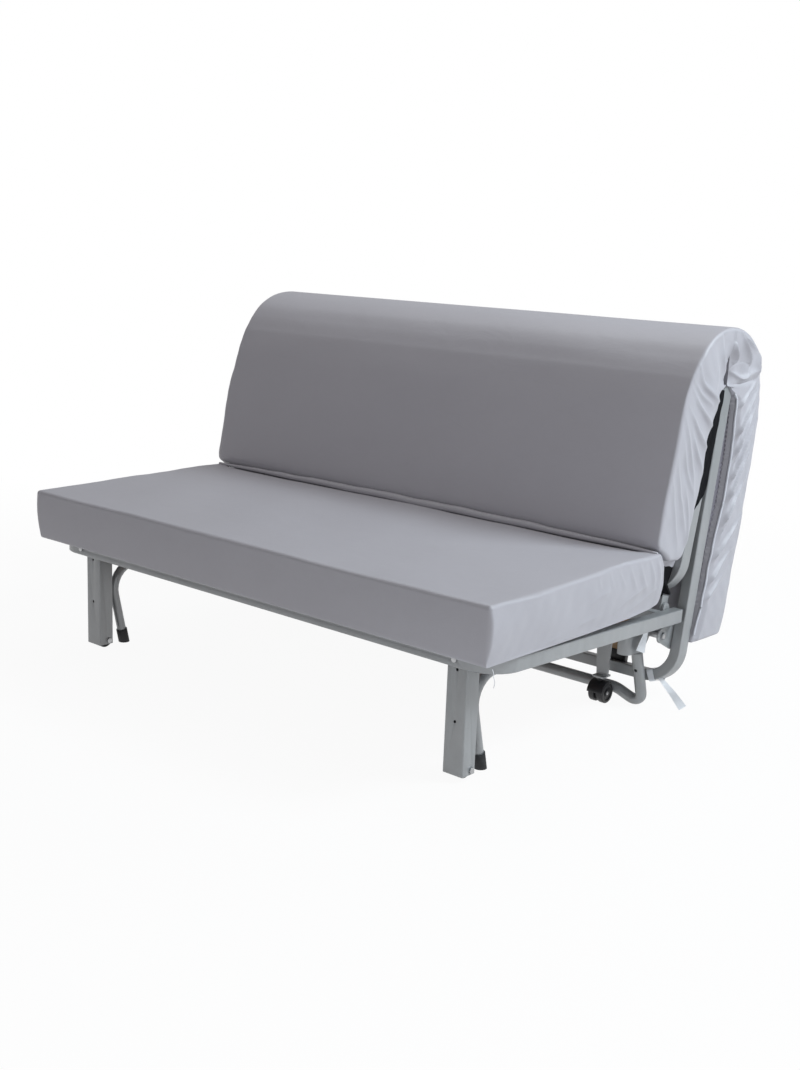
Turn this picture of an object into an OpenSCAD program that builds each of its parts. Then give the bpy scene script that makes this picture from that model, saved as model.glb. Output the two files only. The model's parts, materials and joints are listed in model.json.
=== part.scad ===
// Three-section fold-out sofa bed: a steel tube base, a seat frame on wheels and two back frames,
// under one folded mattress. X runs along the seat, Y from front to back and Z up. The origin lies on
// the floor under the middle of the folded sofa.

/* [Mattress] */
// Length of the mattress along the seat
mattress_w = 1400; // [1300:10:1500]
// Thickness of the seat pad
seat_pad_t = 119; // [90:1:140]
// Height of the front back pad's face above its frame's centre plane
front_pad_n = 152; // [120:1:170]
// Height of the rear back pad's face above its frame's centre plane
rear_pad_n = 155; // [130:1:165]
// Depth of the back's rounded top above the top hinge
crown_h = 126; // [110:1:150]
// How far the pads' hinge ends are set in from the mattress's ends
tuck = 52; // [45:1:70]
// Gap between neighbouring pads
pad_gap = 0.4; // [0.3:0.1:1]

/* [Frames] */
// Width over the side tubes
frame_w = 1370; // [1300:5:1400]
// Width of a frame tube
tube_w = 25; // [20:1:30]
// Depth of a back frame's tube, square to the frame
back_tube_t = 37; // [30:1:37]
// Height of the seat frame's rail
rail_h = 31; // [25:1:35]
// Wall of every tube
wall = 1.5; // [1:0.5:2.5]
// Radius of the tubes' long edges
edge_r = 2.5; // [2:0.5:4]
// Bend radius of the back frames' lower corners
back_bend = 70; // [60:1:90]
// Bend radius of the seat frame's front corners
seat_bend = 60; // [50:1:90]
// Slope of the seat frame, down towards the back
seat_tilt = 2.2; // [0:0.1:3]
// Depth of the cross tubes that close the back frames at the top
top_bar_t = 22; // [18:1:25]

/* [Fold] */
// Lean of the rear back frame
lean_c = 9.8; // [6:0.1:12]
// Lean of the front back frame
lean_b = 12.9; // [10:0.1:16]
// Distance of the base pivot from the front of the seat
pivot_y = 704; // [690:1:715]
// Distance of the seat hinge from the front of the seat
seat_hinge_y = 711; // [705:1:720]
// Height of the seat hinge
seat_hinge_z = 247; // [244:1:252]
// Length of the front back frame between its two hinges
front_link = 512; // [495:1:525]
// Distance from the top hinge to the front frame's centre plane
top_hinge_b = 18; // [17:0.1:21]
// Distance from the top hinge to the rear frame's centre plane
top_hinge_c = 21; // [20.5:0.1:24]
// Radius of the pivot bolts
bolt_r = 4; // [3:0.5:5]
// Gap round a bolt that turns
bolt_gap = 0.25; // [0.2:0.05:0.5]
// Thickness of the hinge plates
plate_t = 5; // [4:0.5:6]
// Gap between hinge plates that turn on each other
plate_gap = 2; // [1:0.5:3]

/* [Slats] */
// Slats in each frame
slats = 8; // [6:1:9]
// Spacing of the slats
slat_pitch = 146; // [140:1:148]
// Width of a slat
slat_w = 53; // [40:1:60]
// Thickness of a slat
slat_t = 8; // [6:1:10]
// Rise of a bowed slat at its middle
slat_bow = 7; // [4:1:8]

/* [Base] */
// Diameter of the base tube
base_d = 22; // [20:0.5:22.2]
// Height of the base runners' centre line
runner_z = 202.5; // [198:0.5:204]
// Diameter of the rear loop's wider tube
loop_d = 26; // [26:0.5:27]
// Bend radius of the base tube's tops
base_bend = 60; // [50:1:64]
// Distance of the front feet from the middle
front_foot_x = 574; // [560:1:576]
// Distance of the rear legs from the middle
rear_leg_x = 605; // [602:1:607]
// Outer radius of the rubber foot caps
cap_r = 13.5; // [12.5:0.5:16]
// Height of the rubber foot caps
cap_h = 36; // [30:1:40]

/* [Legs and wheels] */
// Width of a front leg
leg_w = 50; // [46:1:54]
// Depth of a front leg
leg_t = 40; // [36:1:42]
// Distance of the front legs' middle from the sofa's middle
leg_x = 575; // [560:1:576]
// Height of the front leg's lower end above the floor
leg_lift = 12; // [8:1:14]
// Spacing of the two holes in a front leg
leg_hole_gap = 106; // [96:1:112]
// Radius of the holes in a front leg
leg_hole_r = 3.2; // [2.5:0.1:4]
// Radius of a front wheel
wheel_r = 21; // [20:0.5:23]
// Width of a front wheel
wheel_w = 22; // [18:1:26]
// Radius of a castor's twin wheels
castor_r = 24; // [22:0.5:25]
// Distance of the castors from the middle
castor_x = 521; // [500:1:522]
// Width of one castor wheel
castor_w = 15; // [13:0.5:16]

/* [Hidden] */
$fn = 64;

fit = 0.3; // clearance of a piece that fits inside or beside another
side_x = (frame_w - tube_w) / 2; // middle of a side tube
inner_x = frame_w / 2 - tube_w; // inner face of a side tube

// Directions in the side view, as [y, z]: along each back frame, and out towards its mattress
up_b = [sin(lean_b), cos(lean_b)];
out_b = [-cos(lean_b), sin(lean_b)];
up_c = [sin(lean_c), cos(lean_c)];
out_c = [cos(lean_c), -sin(lean_c)];
fold_c = 90 + lean_c; // turn of the rear frame between sofa and bed
fold_b = lean_b - 90; // turn of the front frame over the same travel

function turned(v, a) = [v[0] * cos(a) - v[1] * sin(a), v[0] * sin(a) + v[1] * cos(a)];

// The seat hinge, the top hinge above it on the front frame, and the base pivot, whose height brings
// the seat hinge back to its own height when the three frames lie flat
seat_hinge = [seat_hinge_y, seat_hinge_z];
top_hinge = seat_hinge + up_b * front_link - out_b * top_hinge_b;
flat_z = seat_hinge_z - turned(top_hinge, fold_c)[1] - turned(seat_hinge - top_hinge, fold_b)[1];
pivot_z = (flat_z + pivot_y * sin(fold_c)) / (1 - cos(fold_c));
pivot = [pivot_y, pivot_z];
pivot_n = (top_hinge - pivot) * out_c + top_hinge_c; // from the pivot back to the rear frame's centre plane
rear_foot = pivot + out_c * pivot_n; // the point of the rear frame's centre plane beside the pivot
top_c = (top_hinge - rear_foot) * up_c; // distance from there up to the top hinge
end_gap = 1.2; // how far the side tubes stop short of the hinge line
bar_drop = 22; // top edge of a top bar below the hinge line
lug_r = 13; // rounded end of the hinge lugs
rear_low = -104; // middle of the rear frame's lower tube along the frame, from beside the pivot
front_low = 42; // middle of the front frame's lower tube above the seat hinge

// Seat frame: front rail, slope and rear bar
rail_y = 59.5; // middle of the front rail
rail_end_y = 740; // cut ends of the side rails
rail_z = 257; // height of the front rail's middle
rear_bar_y = 675; // middle of the rear cross bar
leg_face = rail_y + tube_w / 2 + rail_h / 2 * sin(seat_tilt) + 0.1; // front face of a leg
function seat_z(y) = rail_z - (y - rail_y) * tan(seat_tilt);
pad_low = rail_z + rail_h / 2 + 0.9; // underside of the seat pad

// Depth of the folded sofa, from the seat pad's face to the back of the rounded top
crown_face = 158; // distance of the pads' faces from the top hinge
depth = (top_hinge + out_c * crown_face)[0];

function unit(v) = v / norm(v);
function yz(p, x = 0) = [x, p[0], p[1]];
function bend_angle(a, b, c) = acos(unit(b - a) * unit(c - b));
function bend_at(bend, i) = is_list(bend) ? bend[i] : bend;
function cut_back(p, i, bend) =
    i == 0 || i == len(p) - 1 ? 0 : bend_at(bend, i) * tan(bend_angle(p[i - 1], p[i], p[i + 1]) / 2);

module at_origin() translate([0, -depth / 2, 0]) children();

module both_sides() {
    children();
    mirror([1, 0, 0]) children();
}

module placed(o, x, y, z)
    multmatrix([
        [x[0], y[0], z[0], o[0]],
        [x[1], y[1], z[1], o[1]],
        [x[2], y[2], z[2], o[2]],
        [0, 0, 0, 1]
    ]) children();

// Lays pieces drawn along X, along a frame and above it into place, from a point o of the side view
module in_frame(o, along, out) placed(yz(o), [1, 0, 0], yz(along), yz(out)) children();

// Sweeps the profile given as a child along the points p, with each corner bent to its radius.
// The profile's own Y lies along n, square to the path
module swept(p, bend, n) {
    for (i = [0 : len(p) - 2])
        let (
            d = unit(p[i + 1] - p[i]),
            a = p[i] + d * cut_back(p, i, bend),
            b = p[i + 1] - d * cut_back(p, i + 1, bend),
            x = unit(cross(n, d))
        )
            placed(a, x, cross(d, x), d) linear_extrude(norm(b - a)) children();
    for (i = [1 : len(p) - 2])
        let (
            d = unit(p[i] - p[i - 1]),
            e = unit(p[i + 1] - p[i]),
            turn = bend_angle(p[i - 1], p[i], p[i + 1]),
            start = p[i] - d * cut_back(p, i, bend),
            inward = unit(e - d * (d * e))
        )
            placed(start + inward * bend_at(bend, i), -inward, d, cross(-inward, d))
                rotate_extrude(angle = turn) translate([bend_at(bend, i), 0]) children();
}

// A round tube bent in the plane of X and Y, as one skin of rings along the points p
sides = 20; // flats round a bent tube
bend_rings = 8; // rings round each bend
function heading(v) = atan2(v[1], v[0]);
function turned_left(d, e) = d[0] * e[1] - d[1] * e[0] > 0 ? 1 : -1;
function bend_points(a, b, c, bend) = let (
        d = unit(b - a), e = unit(c - b), turn = bend_angle(a, b, c), side = turned_left(d, e),
        centre = b + unit(e - d) * bend / cos(turn / 2), start = b - d * bend * tan(turn / 2) - centre)
    [for (k = [0 : bend_rings]) let (t = side * turn * k / bend_rings)
        [centre + turned(start, t), heading(d) + t]];
function tube_rings(p, bend) = let (m = len(p) - 1) concat(
    [[p[0], heading(p[1] - p[0])]],
    [for (i = [1 : m - 1]) each bend_points(p[i - 1], p[i], p[i + 1], bend_at(bend, i))],
    [[p[m], heading(p[m] - p[m - 1])]]);
function ring_points(at, r) = [for (k = [0 : sides - 1]) let (t = 360 * k / sides)
    [at[0][0] - sin(at[1]) * r * cos(t), at[0][1] + cos(at[1]) * r * cos(t), r * sin(t)]];
module bent_tube(p, bend, d) {
    rings = tube_rings(p, bend);
    n = len(rings);
    skin = n * sides; // points on the outer skin, and the same again on the inner one
    function at(i, k) = i * sides + k % sides;
    polyhedron(
        [for (r = [d / 2, d / 2 - wall]) for (at = rings) each ring_points(at, r)],
        concat(
            [for (i = [0 : n - 2], k = [0 : sides - 1]) [at(i, k), at(i, k + 1), at(i + 1, k + 1), at(i + 1, k)]],
            [for (i = [0 : n - 2], k = [0 : sides - 1])
                [skin + at(i, k), skin + at(i + 1, k), skin + at(i + 1, k + 1), skin + at(i, k + 1)]],
            [for (k = [0 : sides - 1]) [at(0, k), skin + at(0, k), skin + at(0, k + 1), at(0, k + 1)]],
            [for (k = [0 : sides - 1])
                [at(n - 1, k), at(n - 1, k + 1), skin + at(n - 1, k + 1), skin + at(n - 1, k)]]));
}

module rounded(w, h, r) {
    square([w - 2 * r, h], center = true);
    square([w, h - 2 * r], center = true);
    for (x = [-1, 1], y = [-1, 1]) translate([x * (w / 2 - r), y * (h / 2 - r)]) circle(r, $fn = 24);
}

module box_tube(p, bend, w, h, n)
    swept(p, bend, n) difference() {
        rounded(w, h, edge_r);
        square([w - 2 * wall, h - 2 * wall], center = true);
    }

// A plate in the side view, from x to x + t
module side_plate(x, t) translate([x, 0, 0]) rotate([90, 0, 90]) linear_extrude(t) children();

// A round bar along X through a point of the side view
module cross_pin(p, x0, x1, r) translate(yz(p, x0)) rotate([0, 90, 0]) cylinder(r = r, h = x1 - x0);

// An outline with a round end at p that stands on the edge from f to g, with a bore at p
module lug_outline(p, f, g, r, bore) {
    d = unit((f + g) / 2 - p);
    m = [-d[1], d[0]] * (([-d[1], d[0]] * (f - g)) > 0 ? r : -r);
    difference() {
        union() {
            translate(p) circle(r);
            polygon([p + m, f, g, p - m]);
        }
        translate(p) circle(bore);
    }
}

// A bolt along X through p, with its head below x0 and, where asked, a nut above x1
module bolt(p, x0, x1, r, nut = true) {
    cross_pin(p, x0, x1, r);
    cross_pin(p, x0 - 0.9 * r, x0, 1.9 * r);
    if (nut) translate(yz(p, x1 - 1.6 * r)) rotate([0, 90, 0]) cylinder(r = 2 * r, h = 1.6 * r, $fn = 6);
}

// Each frame's own space, on the middle of the sofa and moved to the origin
module on_seat() at_origin() in_frame([rail_y, rail_z], [cos(seat_tilt), -sin(seat_tilt)],
    [sin(seat_tilt), cos(seat_tilt)]) children();
module on_front() at_origin() in_frame(seat_hinge, up_b, out_b) children();
module on_rear() at_origin() in_frame(rear_foot, up_c, out_c) children();

// The hinges as seen in the frames' own spaces
top_on_front = [front_link, -top_hinge_b];
top_on_rear = [top_c, -top_hinge_c];
pivot_on_rear = [0, -pivot_n];

// ---- Base ----
base_r = base_d / 2;
loop_r = loop_d / 2;
front_lean = 13.1; // lean of the front legs, back towards the foot
rear_lean = 17.4; // lean of the rear legs
front_foot_y = 165; // where a front leg meets the floor
rear_top_y = 671; // corner between runner and rear leg
foot_stop = 6; // height of the tube's end inside its cap
side_run = rear_top_y - front_foot_y;
side_dir = unit([rear_leg_x - front_foot_x, side_run, 0]);
side_len = norm([rear_leg_x - front_foot_x, side_run]);
joint_z = 140; // top of the rear loop's tube
joint_in = 14; // how far the side tube reaches into it
down = runner_z - joint_z + joint_in;

// One side of the base, bent in an upright plane: front leg, runner and rear leg
module base_side()
    color("slategray") at_origin()
        placed([front_foot_x, front_foot_y, 0], side_dir, [0, 0, 1], cross(side_dir, [0, 0, 1]))
            bent_tube([[-foot_stop * tan(front_lean), foot_stop], [-runner_z * tan(front_lean), runner_z],
                [side_len, runner_z], [side_len + down * tan(rear_lean), runner_z - down]], base_bend, base_d);
module base_side_right() base_side();
module base_side_left() mirror([1, 0, 0]) base_side();

// The rear legs and the floor tube between them, bent in one plane that leans with the legs
floor_bend = 22; // bend radius where a rear leg turns in along the floor
kink_bend = 60; // bend radius where the floor tube levels out
kink_run = 66; // how far the floor tube runs in before it levels out
kink_rise = 32; // how far it rises there
joint_mid = joint_z - joint_in / 2;
joint_at = [front_foot_x, front_foot_y, 0] + side_dir * (side_len + (runner_z - joint_mid) * tan(rear_lean));
loop_x = joint_at[0]; // the loop's legs are in line with the side tubes where they meet
leg_end = [loop_x, 0];
kink = [loop_x - kink_run, kink_rise];
floor_turn = bend_angle([loop_x, 1], leg_end, kink);
floor_side = unit(unit(kink - leg_end) + [0, 1]);
loop_low = floor_side[1] * floor_bend / cos(floor_turn / 2) - floor_bend; // lowest point of the bend
loop_z = loop_r - loop_low * cos(rear_lean); // the bend's underside touches the floor
loop_y = joint_at[1] + (joint_mid - loop_z) * tan(rear_lean);
loop_up = (joint_z - loop_z) / cos(rear_lean);
leg_hole_up = (98 - loop_z) / cos(rear_lean); // hole low in the rear legs
function mirrored(p) = [-p[0], p[1]];
loop_path = [[loop_x, loop_up], leg_end, kink, mirrored(kink), mirrored(leg_end), [-loop_x, loop_up]];
module base_rear_loop()
    color("slategray") at_origin()
        in_frame([loop_y, loop_z], [-sin(rear_lean), cos(rear_lean)], [-cos(rear_lean), -sin(rear_lean)])
            difference() {
                bent_tube(loop_path, [0, floor_bend, kink_bend, kink_bend, floor_bend, 0], loop_d);
                for (x = [-loop_x, loop_x])
                    translate([x, leg_hole_up, 0]) cylinder(r = 4, h = 2 * loop_d, center = true);
            }

foot_dir = unit(-side_dir * tan(front_lean) + [0, 0, 1]);
foot_at = [front_foot_x, front_foot_y, 0] + foot_dir * foot_stop / cos(front_lean);
foot_side = unit(cross(foot_dir, [1, 0, 0]));
module foot_caps()
    color("dimgray") at_origin() both_sides() difference() {
        placed(foot_at, cross(foot_side, foot_dir), foot_side, foot_dir) difference() {
            translate([0, 0, -cap_r]) cylinder(r = cap_r, h = cap_h + cap_r - foot_stop);
            cylinder(r = base_r + 0.1, h = cap_h + cap_r);
        }
        translate([front_foot_x - 2 * cap_r, front_foot_y - 2 * cap_r, -2 * cap_r])
            cube([4 * cap_r, 4 * cap_r, 2 * cap_r]);
    }

// Bent strap round the rear top corner of the base, with ears that hold the pivot bolt
strap_in = base_r + 1.3; // half the strap's inner width
strap_out = strap_in + plate_t;
strap_low = 146; // lower edge
strap_high = 187; // upper edge, under the runner
strap_front = 640; // where the strap's round front begins
strap_back = 690; // where its arms end below the pivot
ear_r = 15; // rounded ear round the pivot bolt

module strap_arm()
    lug_outline(pivot, [strap_back - 26, strap_high], [strap_back, strap_low], ear_r, bolt_r + 0.1);

module strap_outline() {
    strap_arm();
    polygon([[strap_front, strap_low], [strap_back, strap_low],
        [strap_back - 26, strap_high], [strap_front, strap_high]]);
}

module pivot_brackets()
    color("slategray") at_origin() both_sides() {
        side_plate(rear_leg_x + strap_in, plate_t) strap_outline();
        side_plate(rear_leg_x - strap_out, plate_t) strap_outline();
        translate([rear_leg_x, strap_front, strap_low]) difference() {
            cylinder(r = strap_out, h = strap_high - strap_low);
            translate([0, 0, -1]) cylinder(r = strap_in, h = strap_high - strap_low + 2);
            translate([-2 * strap_out, 0, -1]) cube([4 * strap_out, 2 * strap_out, strap_high]);
        }
    }

plate_in = inner_x - plate_t; // inner face of the plates on the side tubes
module pivot_bolts()
    color("silver") at_origin() both_sides()
        bolt(pivot, rear_leg_x - strap_out, inner_x + 0.2 + 1.6 * bolt_r, bolt_r);

module pivot_spacers()
    color("silver") at_origin() both_sides() difference() {
        cross_pin(pivot, rear_leg_x + strap_out, plate_in - 0.2, 8);
        cross_pin(pivot, rear_leg_x, inner_x, bolt_r + 0.1);
    }

// ---- Back frames ----
bar_mid = bar_drop + tube_w / 2; // middle of a top bar below the hinge line
slat_x = [for (i = [0 : slats - 1]) (i - (slats - 1) / 2) * slat_pitch];
grip = 22; // how much of a slat its holder covers
lip = 3; // wall of a slat holder
steps = 8; // straight runs along a bowed slat
slat_end = 3; // gap between a slat's end and the tube

// A U of box tube in a frame's own space, with its closed end at low
module u_frame(low, top)
    box_tube([[side_x, top, 0], [side_x, low, 0], [-side_x, low, 0], [-side_x, top, 0]],
        back_bend, tube_w, back_tube_t, [0, 0, 1]);

module cross_bar(s, h)
    box_tube([[-inner_x, s, 0], [inner_x, s, 0]], 0, tube_w, h, [0, 0, 1]);

// Side outline of a bowed slat from s0 to s1 whose ends' upper faces lie at n0, grown by g
function bow_at(s, s0, s1) = slat_bow * (1 - pow(2 * (s - s0) / (s1 - s0) - 1, 2));
function slat_points(s0, s1, n0, g) = let (ss = [for (i = [0 : steps]) s0 + (s1 - s0) * i / steps])
    concat([for (s = ss) [s, n0 + bow_at(s, s0, s1) + g]],
        [for (i = [steps : -1 : 0]) [ss[i], n0 + bow_at(ss[i], s0, s1) - slat_t - g]]);

// Slats between two tubes whose inner faces are at e0 and e1
module slat_set(e0, e1, n0)
    for (x = slat_x)
        side_plate(x - slat_w / 2, slat_w) polygon(slat_points(e0 + slat_end, e1 - slat_end, n0, 0));

// Plastic caps that hold the slats at both ends
module holder_set(e0, e1, n0)
    for (x = slat_x) difference() {
        for (e = [[e0, e0 + slat_end + grip], [e1 - slat_end - grip, e1]])
            translate([x - slat_w / 2 - lip, e[0], n0 - slat_t - lip])
                cube([slat_w + 2 * lip, e[1] - e[0], slat_t + 2 * lip]);
        side_plate(x - slat_w / 2 - fit / 2, slat_w + fit)
            polygon(slat_points(e0 + slat_end, e1 - slat_end, n0, fit / 2));
    }

back_slat_n = back_tube_t / 2 - slat_bow; // upper faces of the back slats' ends
lug_x = inner_x - 8 - plate_t; // rear frame's hinge lugs
front_lug_x = lug_x - plate_gap - plate_t; // front frame's hinge lugs, beside them

// Rear frame
rear_e0 = rear_low + tube_w / 2;
rear_e1 = top_c - bar_mid - tube_w / 2;

plate_low = rear_low + back_bend + 2; // lower edge of a pivot plate, above the tube's bend
plate_high = 40; // its upper edge

module rear_frame_tube() color("slategray") on_rear() u_frame(rear_low, top_c - end_gap);
module rear_top_bar() color("slategray") on_rear() cross_bar(top_c - bar_mid, top_bar_t);
module pivot_plates()
    color("slategray") on_rear() both_sides() side_plate(plate_in, plate_t) difference() {
        union() {
            lug_outline(pivot_on_rear, [plate_high, -back_tube_t / 2], [plate_low, -back_tube_t / 2],
                18, bolt_r + bolt_gap);
            translate([plate_low, -back_tube_t / 2]) square([plate_high - plate_low, 0.75 * back_tube_t]);
        }
        translate(pivot_on_rear) circle(bolt_r + bolt_gap);
    }
module rear_hinge_lugs()
    color("slategray") on_rear() both_sides() side_plate(lug_x, plate_t)
        lug_outline(top_on_rear, [top_c - bar_drop, -top_bar_t / 2], [top_c - bar_drop, top_bar_t / 2 - 2],
            lug_r, bolt_r + 0.1);
module rear_slats() color("burlywood") on_rear() slat_set(rear_e0, rear_e1, back_slat_n);
module rear_slat_holders() color("dimgray") on_rear() holder_set(rear_e0, rear_e1, back_slat_n);
module top_hinge_bolts()
    color("silver") on_rear() both_sides() bolt(top_on_rear, front_lug_x - 0.3, inner_x - 0.5, bolt_r);

// Front frame
front_e0 = front_low + tube_w / 2;
front_e1 = front_link - bar_mid - tube_w / 2;
seat_lug_x = plate_in - plate_gap - plate_t;

module front_frame_tube() color("slategray") on_front() u_frame(front_low, front_link - end_gap);
module front_top_bar() color("slategray") on_front() cross_bar(front_link - bar_mid, top_bar_t);
module front_hinge_lugs()
    color("slategray") on_front() both_sides() side_plate(front_lug_x, plate_t)
        lug_outline(top_on_front, [front_link - bar_drop, top_bar_t / 2 - 2],
            [front_link - bar_drop, -top_bar_t / 2], lug_r, bolt_r + bolt_gap);
module seat_hinge_lugs()
    color("slategray") on_front() both_sides() side_plate(seat_lug_x, plate_t)
        lug_outline([0, 0], [front_low - tube_w / 2, -14], [front_low - tube_w / 2, 14],
            lug_r, bolt_r + bolt_gap);
module front_slats() color("burlywood") on_front() slat_set(front_e0, front_e1, back_slat_n);
module front_slat_holders() color("dimgray") on_front() holder_set(front_e0, front_e1, back_slat_n);

// ---- Seat frame ----
rail_len = (rail_end_y - rail_y) / cos(seat_tilt);
rear_bar_s = (rear_bar_y - rail_y) / cos(seat_tilt);
module seat_frame_tube()
    color("slategray") on_seat() difference() {
        box_tube([[side_x, rail_len, 0], [side_x, 0, 0], [-side_x, 0, 0], [-side_x, rail_len, 0]],
            seat_bend, tube_w, rail_h, [0, 0, 1]);
        both_sides() translate([leg_bolt_x, 0, 0]) rotate([90, 0, 0])
            cylinder(r = 3.1, h = 2 * tube_w, center = true);
    }
leg_bolt_x = leg_x + 12; // bolt through the front rail into a leg

module seat_rear_bar() color("slategray") on_seat() cross_bar(rear_bar_s, rail_h);

module rail_hinge_plates()
    color("slategray") at_origin() both_sides() side_plate(plate_in, plate_t)
        lug_outline(seat_hinge, [seat_hinge_y + 20, seat_z(seat_hinge_y + 20) - rail_h / 2 + 3],
            [seat_hinge_y - 21, seat_z(seat_hinge_y - 21) - rail_h / 2 + 3], lug_r + 1, bolt_r + 0.1);
module seat_hinge_bolts()
    color("silver") at_origin() both_sides() bolt(seat_hinge, seat_lug_x - 0.3, inner_x, bolt_r, nut = false);

plug_grip = 14; // how far an end plug reaches into its rail
module rail_plugs()
    color("dimgray") on_seat() both_sides() translate([side_x, rail_len, 0]) rotate([-90, 0, 0]) {
        linear_extrude(3) rounded(tube_w, rail_h, edge_r);
        translate([0, 0, -plug_grip]) linear_extrude(plug_grip)
            square([tube_w - 2 * wall - fit, rail_h - 2 * wall - fit], center = true);
    }

seat_slat_n = pad_low - pad_gap - slat_bow; // upper faces of the seat slats' ends
seat_slat_end = rear_bar_y + tube_w / 2 + 2 * lip;
module seat_slats() color("burlywood") at_origin() slat_set(leg_face, seat_slat_end, seat_slat_n);
module seat_slat_holders()
    color("dimgray") at_origin() {
        holder_set(leg_face, seat_slat_end, seat_slat_n);
        // feet that stand the rear holders on the bar
        for (x = slat_x) side_plate(x - 12, 24) polygon([
            [rear_bar_y - 8, seat_z(rear_bar_y - 8) + rail_h / 2 + 0.1],
            [rear_bar_y + 8, seat_z(rear_bar_y + 8) + rail_h / 2 + 0.1],
            [rear_bar_y + 8, seat_slat_n - slat_t - lip], [rear_bar_y - 8, seat_slat_n - slat_t - lip]]);
    }

// Front legs, open below, with a wheel behind a slot in the back wall
leg_y = leg_face + leg_t / 2;
leg_top = rail_z + rail_h / 2 - 2;
leg_hole_z = 122; // lower hole
wheel_y = leg_y + 8;
axle_r = 4;
module front_leg()
    color("slategray") at_origin() difference() {
        translate([leg_x, leg_y, leg_lift]) linear_extrude(leg_top - leg_lift) difference() {
            rounded(leg_w, leg_t, edge_r);
            square([leg_w - 2 * wall, leg_t - 2 * wall], center = true);
        }
        for (z = [0, leg_hole_gap]) translate([leg_x, leg_y, leg_hole_z + z]) rotate([90, 0, 0])
            cylinder(r = leg_hole_r, h = leg_t);
        translate([leg_bolt_x, leg_y, seat_z(leg_face)]) rotate([90, 0, 0]) cylinder(r = 3.5, h = leg_t);
        cross_pin([wheel_y, wheel_r], leg_x - leg_w, leg_x + leg_w, axle_r + 0.1);
        translate([leg_x - wheel_w / 2 - 4, leg_y, 0]) cube([wheel_w + 8, leg_t, 2 * wheel_r + 5]);
    }
module front_leg_right() front_leg();
module front_leg_left() mirror([1, 0, 0]) front_leg();
module leg_bolts()
    color("silver") on_seat() both_sides() translate([leg_bolt_x, -tube_w / 2 - 0.1, 0]) rotate([-90, 0, 0]) {
        cylinder(r = 3, h = tube_w + wall + 9);
        translate([0, 0, -3]) cylinder(r = 6, h = 3);
        translate([0, 0, tube_w + wall + 2.8]) cylinder(r = 5.5, h = 5, $fn = 6);
    }

// A wheel seen in section: half width w, radius r, bore b and a groove in its side
module wheel_section(w, r, b, round)
    difference() {
        union() {
            translate([b, -w]) square([r - b - round, 2 * w]);
            translate([b, -w + round]) square([r - b, 2 * (w - round)]);
            for (y = [-1, 1]) translate([r - round, y * (w - round)]) circle(round);
        }
        for (y = [-w, w - 2]) translate([b + 4, y - 0.01]) square([r - b - 4 - 2.4 * round, 2.02]);
    }
module wheel(p, x, w, r, b, round)
    translate(yz(p, x)) rotate([0, 90, 0]) rotate_extrude() wheel_section(w / 2, r, b, round);

wheel_at = [wheel_y, wheel_r];
module front_wheel_right()
    color("dimgray") at_origin() wheel(wheel_at, leg_x, wheel_w, wheel_r, axle_r + bolt_gap, 2.5);
module front_wheel_left()
    color("dimgray") at_origin() wheel(wheel_at, -leg_x, wheel_w, wheel_r, axle_r + bolt_gap, 2.5);
module front_axles()
    color("silver") at_origin() both_sides() {
        cross_pin(wheel_at, leg_x - leg_w / 2 - 3, leg_x + leg_w / 2 + 0.2, axle_r);
        for (x = [leg_x - leg_w / 2 - 3, leg_x + leg_w / 2 + 0.1]) cross_pin(wheel_at, x, x + 3, 6.5);
        for (x = [leg_x - leg_w / 2 + wall + 0.1, leg_x + wheel_w / 2 + 0.3])
            cross_pin(wheel_at, x, x + (leg_w - wheel_w) / 2 - wall - 0.4, 6);
    }

// Castors under the rear bar
castor_at = [687, castor_r];
castor_gap = 9; // between the twin wheels
hanger_t = 4;
hanger_w = 44;
hanger_y = rear_bar_y + tube_w / 2 + rail_h / 2 * sin(seat_tilt) + 0.1; // face against the rear bar
hanger_z = 61; // underside of its foot
module castor_brackets()
    color("slategray") at_origin() both_sides() {
        translate([castor_x, hanger_y, 0]) rotate([90, 0, 180]) linear_extrude(hanger_t) polygon([
            [-hanger_w / 2, seat_z(rear_bar_y) + 8], [hanger_w / 2, seat_z(rear_bar_y) + 8],
            [hanger_w / 2, 190], [15, hanger_z], [-15, hanger_z], [-hanger_w / 2, 190]]);
        translate([castor_x - 15, castor_at[0] - 17, hanger_z]) cube([30, 32, hanger_t]);
    }
hood_r = castor_r + 4;
module castor_hoods()
    color("dimgray") at_origin() both_sides() difference() {
        union() {
            cross_pin(castor_at, castor_x - castor_gap / 2 + 0.5, castor_x + castor_gap / 2 - 0.5, castor_r - 6);
            translate([castor_x - 4, castor_at[0] - 7, castor_r]) cube([8, 14, hanger_z - castor_r - 0.1]);
            difference() {
                cross_pin(castor_at, castor_x - castor_w - castor_gap / 2 - 1, castor_x + castor_w + castor_gap / 2 + 1, hood_r);
                cross_pin(castor_at, 0, 2 * castor_x, castor_r + 1.2);
                translate([0, castor_at[0] - 2 * hood_r, -hood_r]) cube([2 * castor_x, 4 * hood_r, castor_r + hood_r + 3]);
                translate([0, castor_at[0] + 10, 0]) cube([2 * castor_x, hood_r, 3 * hood_r]);
            }
        }
        cross_pin(castor_at, 0, 2 * castor_x, axle_r + 0.1);
    }
module castor_pair()
    color("black") at_origin() for (x = [-1, 1])
        wheel(castor_at, castor_x + x * (castor_w + castor_gap) / 2, castor_w, castor_r, axle_r + bolt_gap, 3);
module castor_wheels_right() castor_pair();
module castor_wheels_left() mirror([1, 0, 0]) castor_pair();
module castor_axles()
    color("silver") at_origin() both_sides()
        cross_pin(castor_at, castor_x - castor_w - castor_gap / 2, castor_x + castor_w + castor_gap / 2, axle_r);

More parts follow.
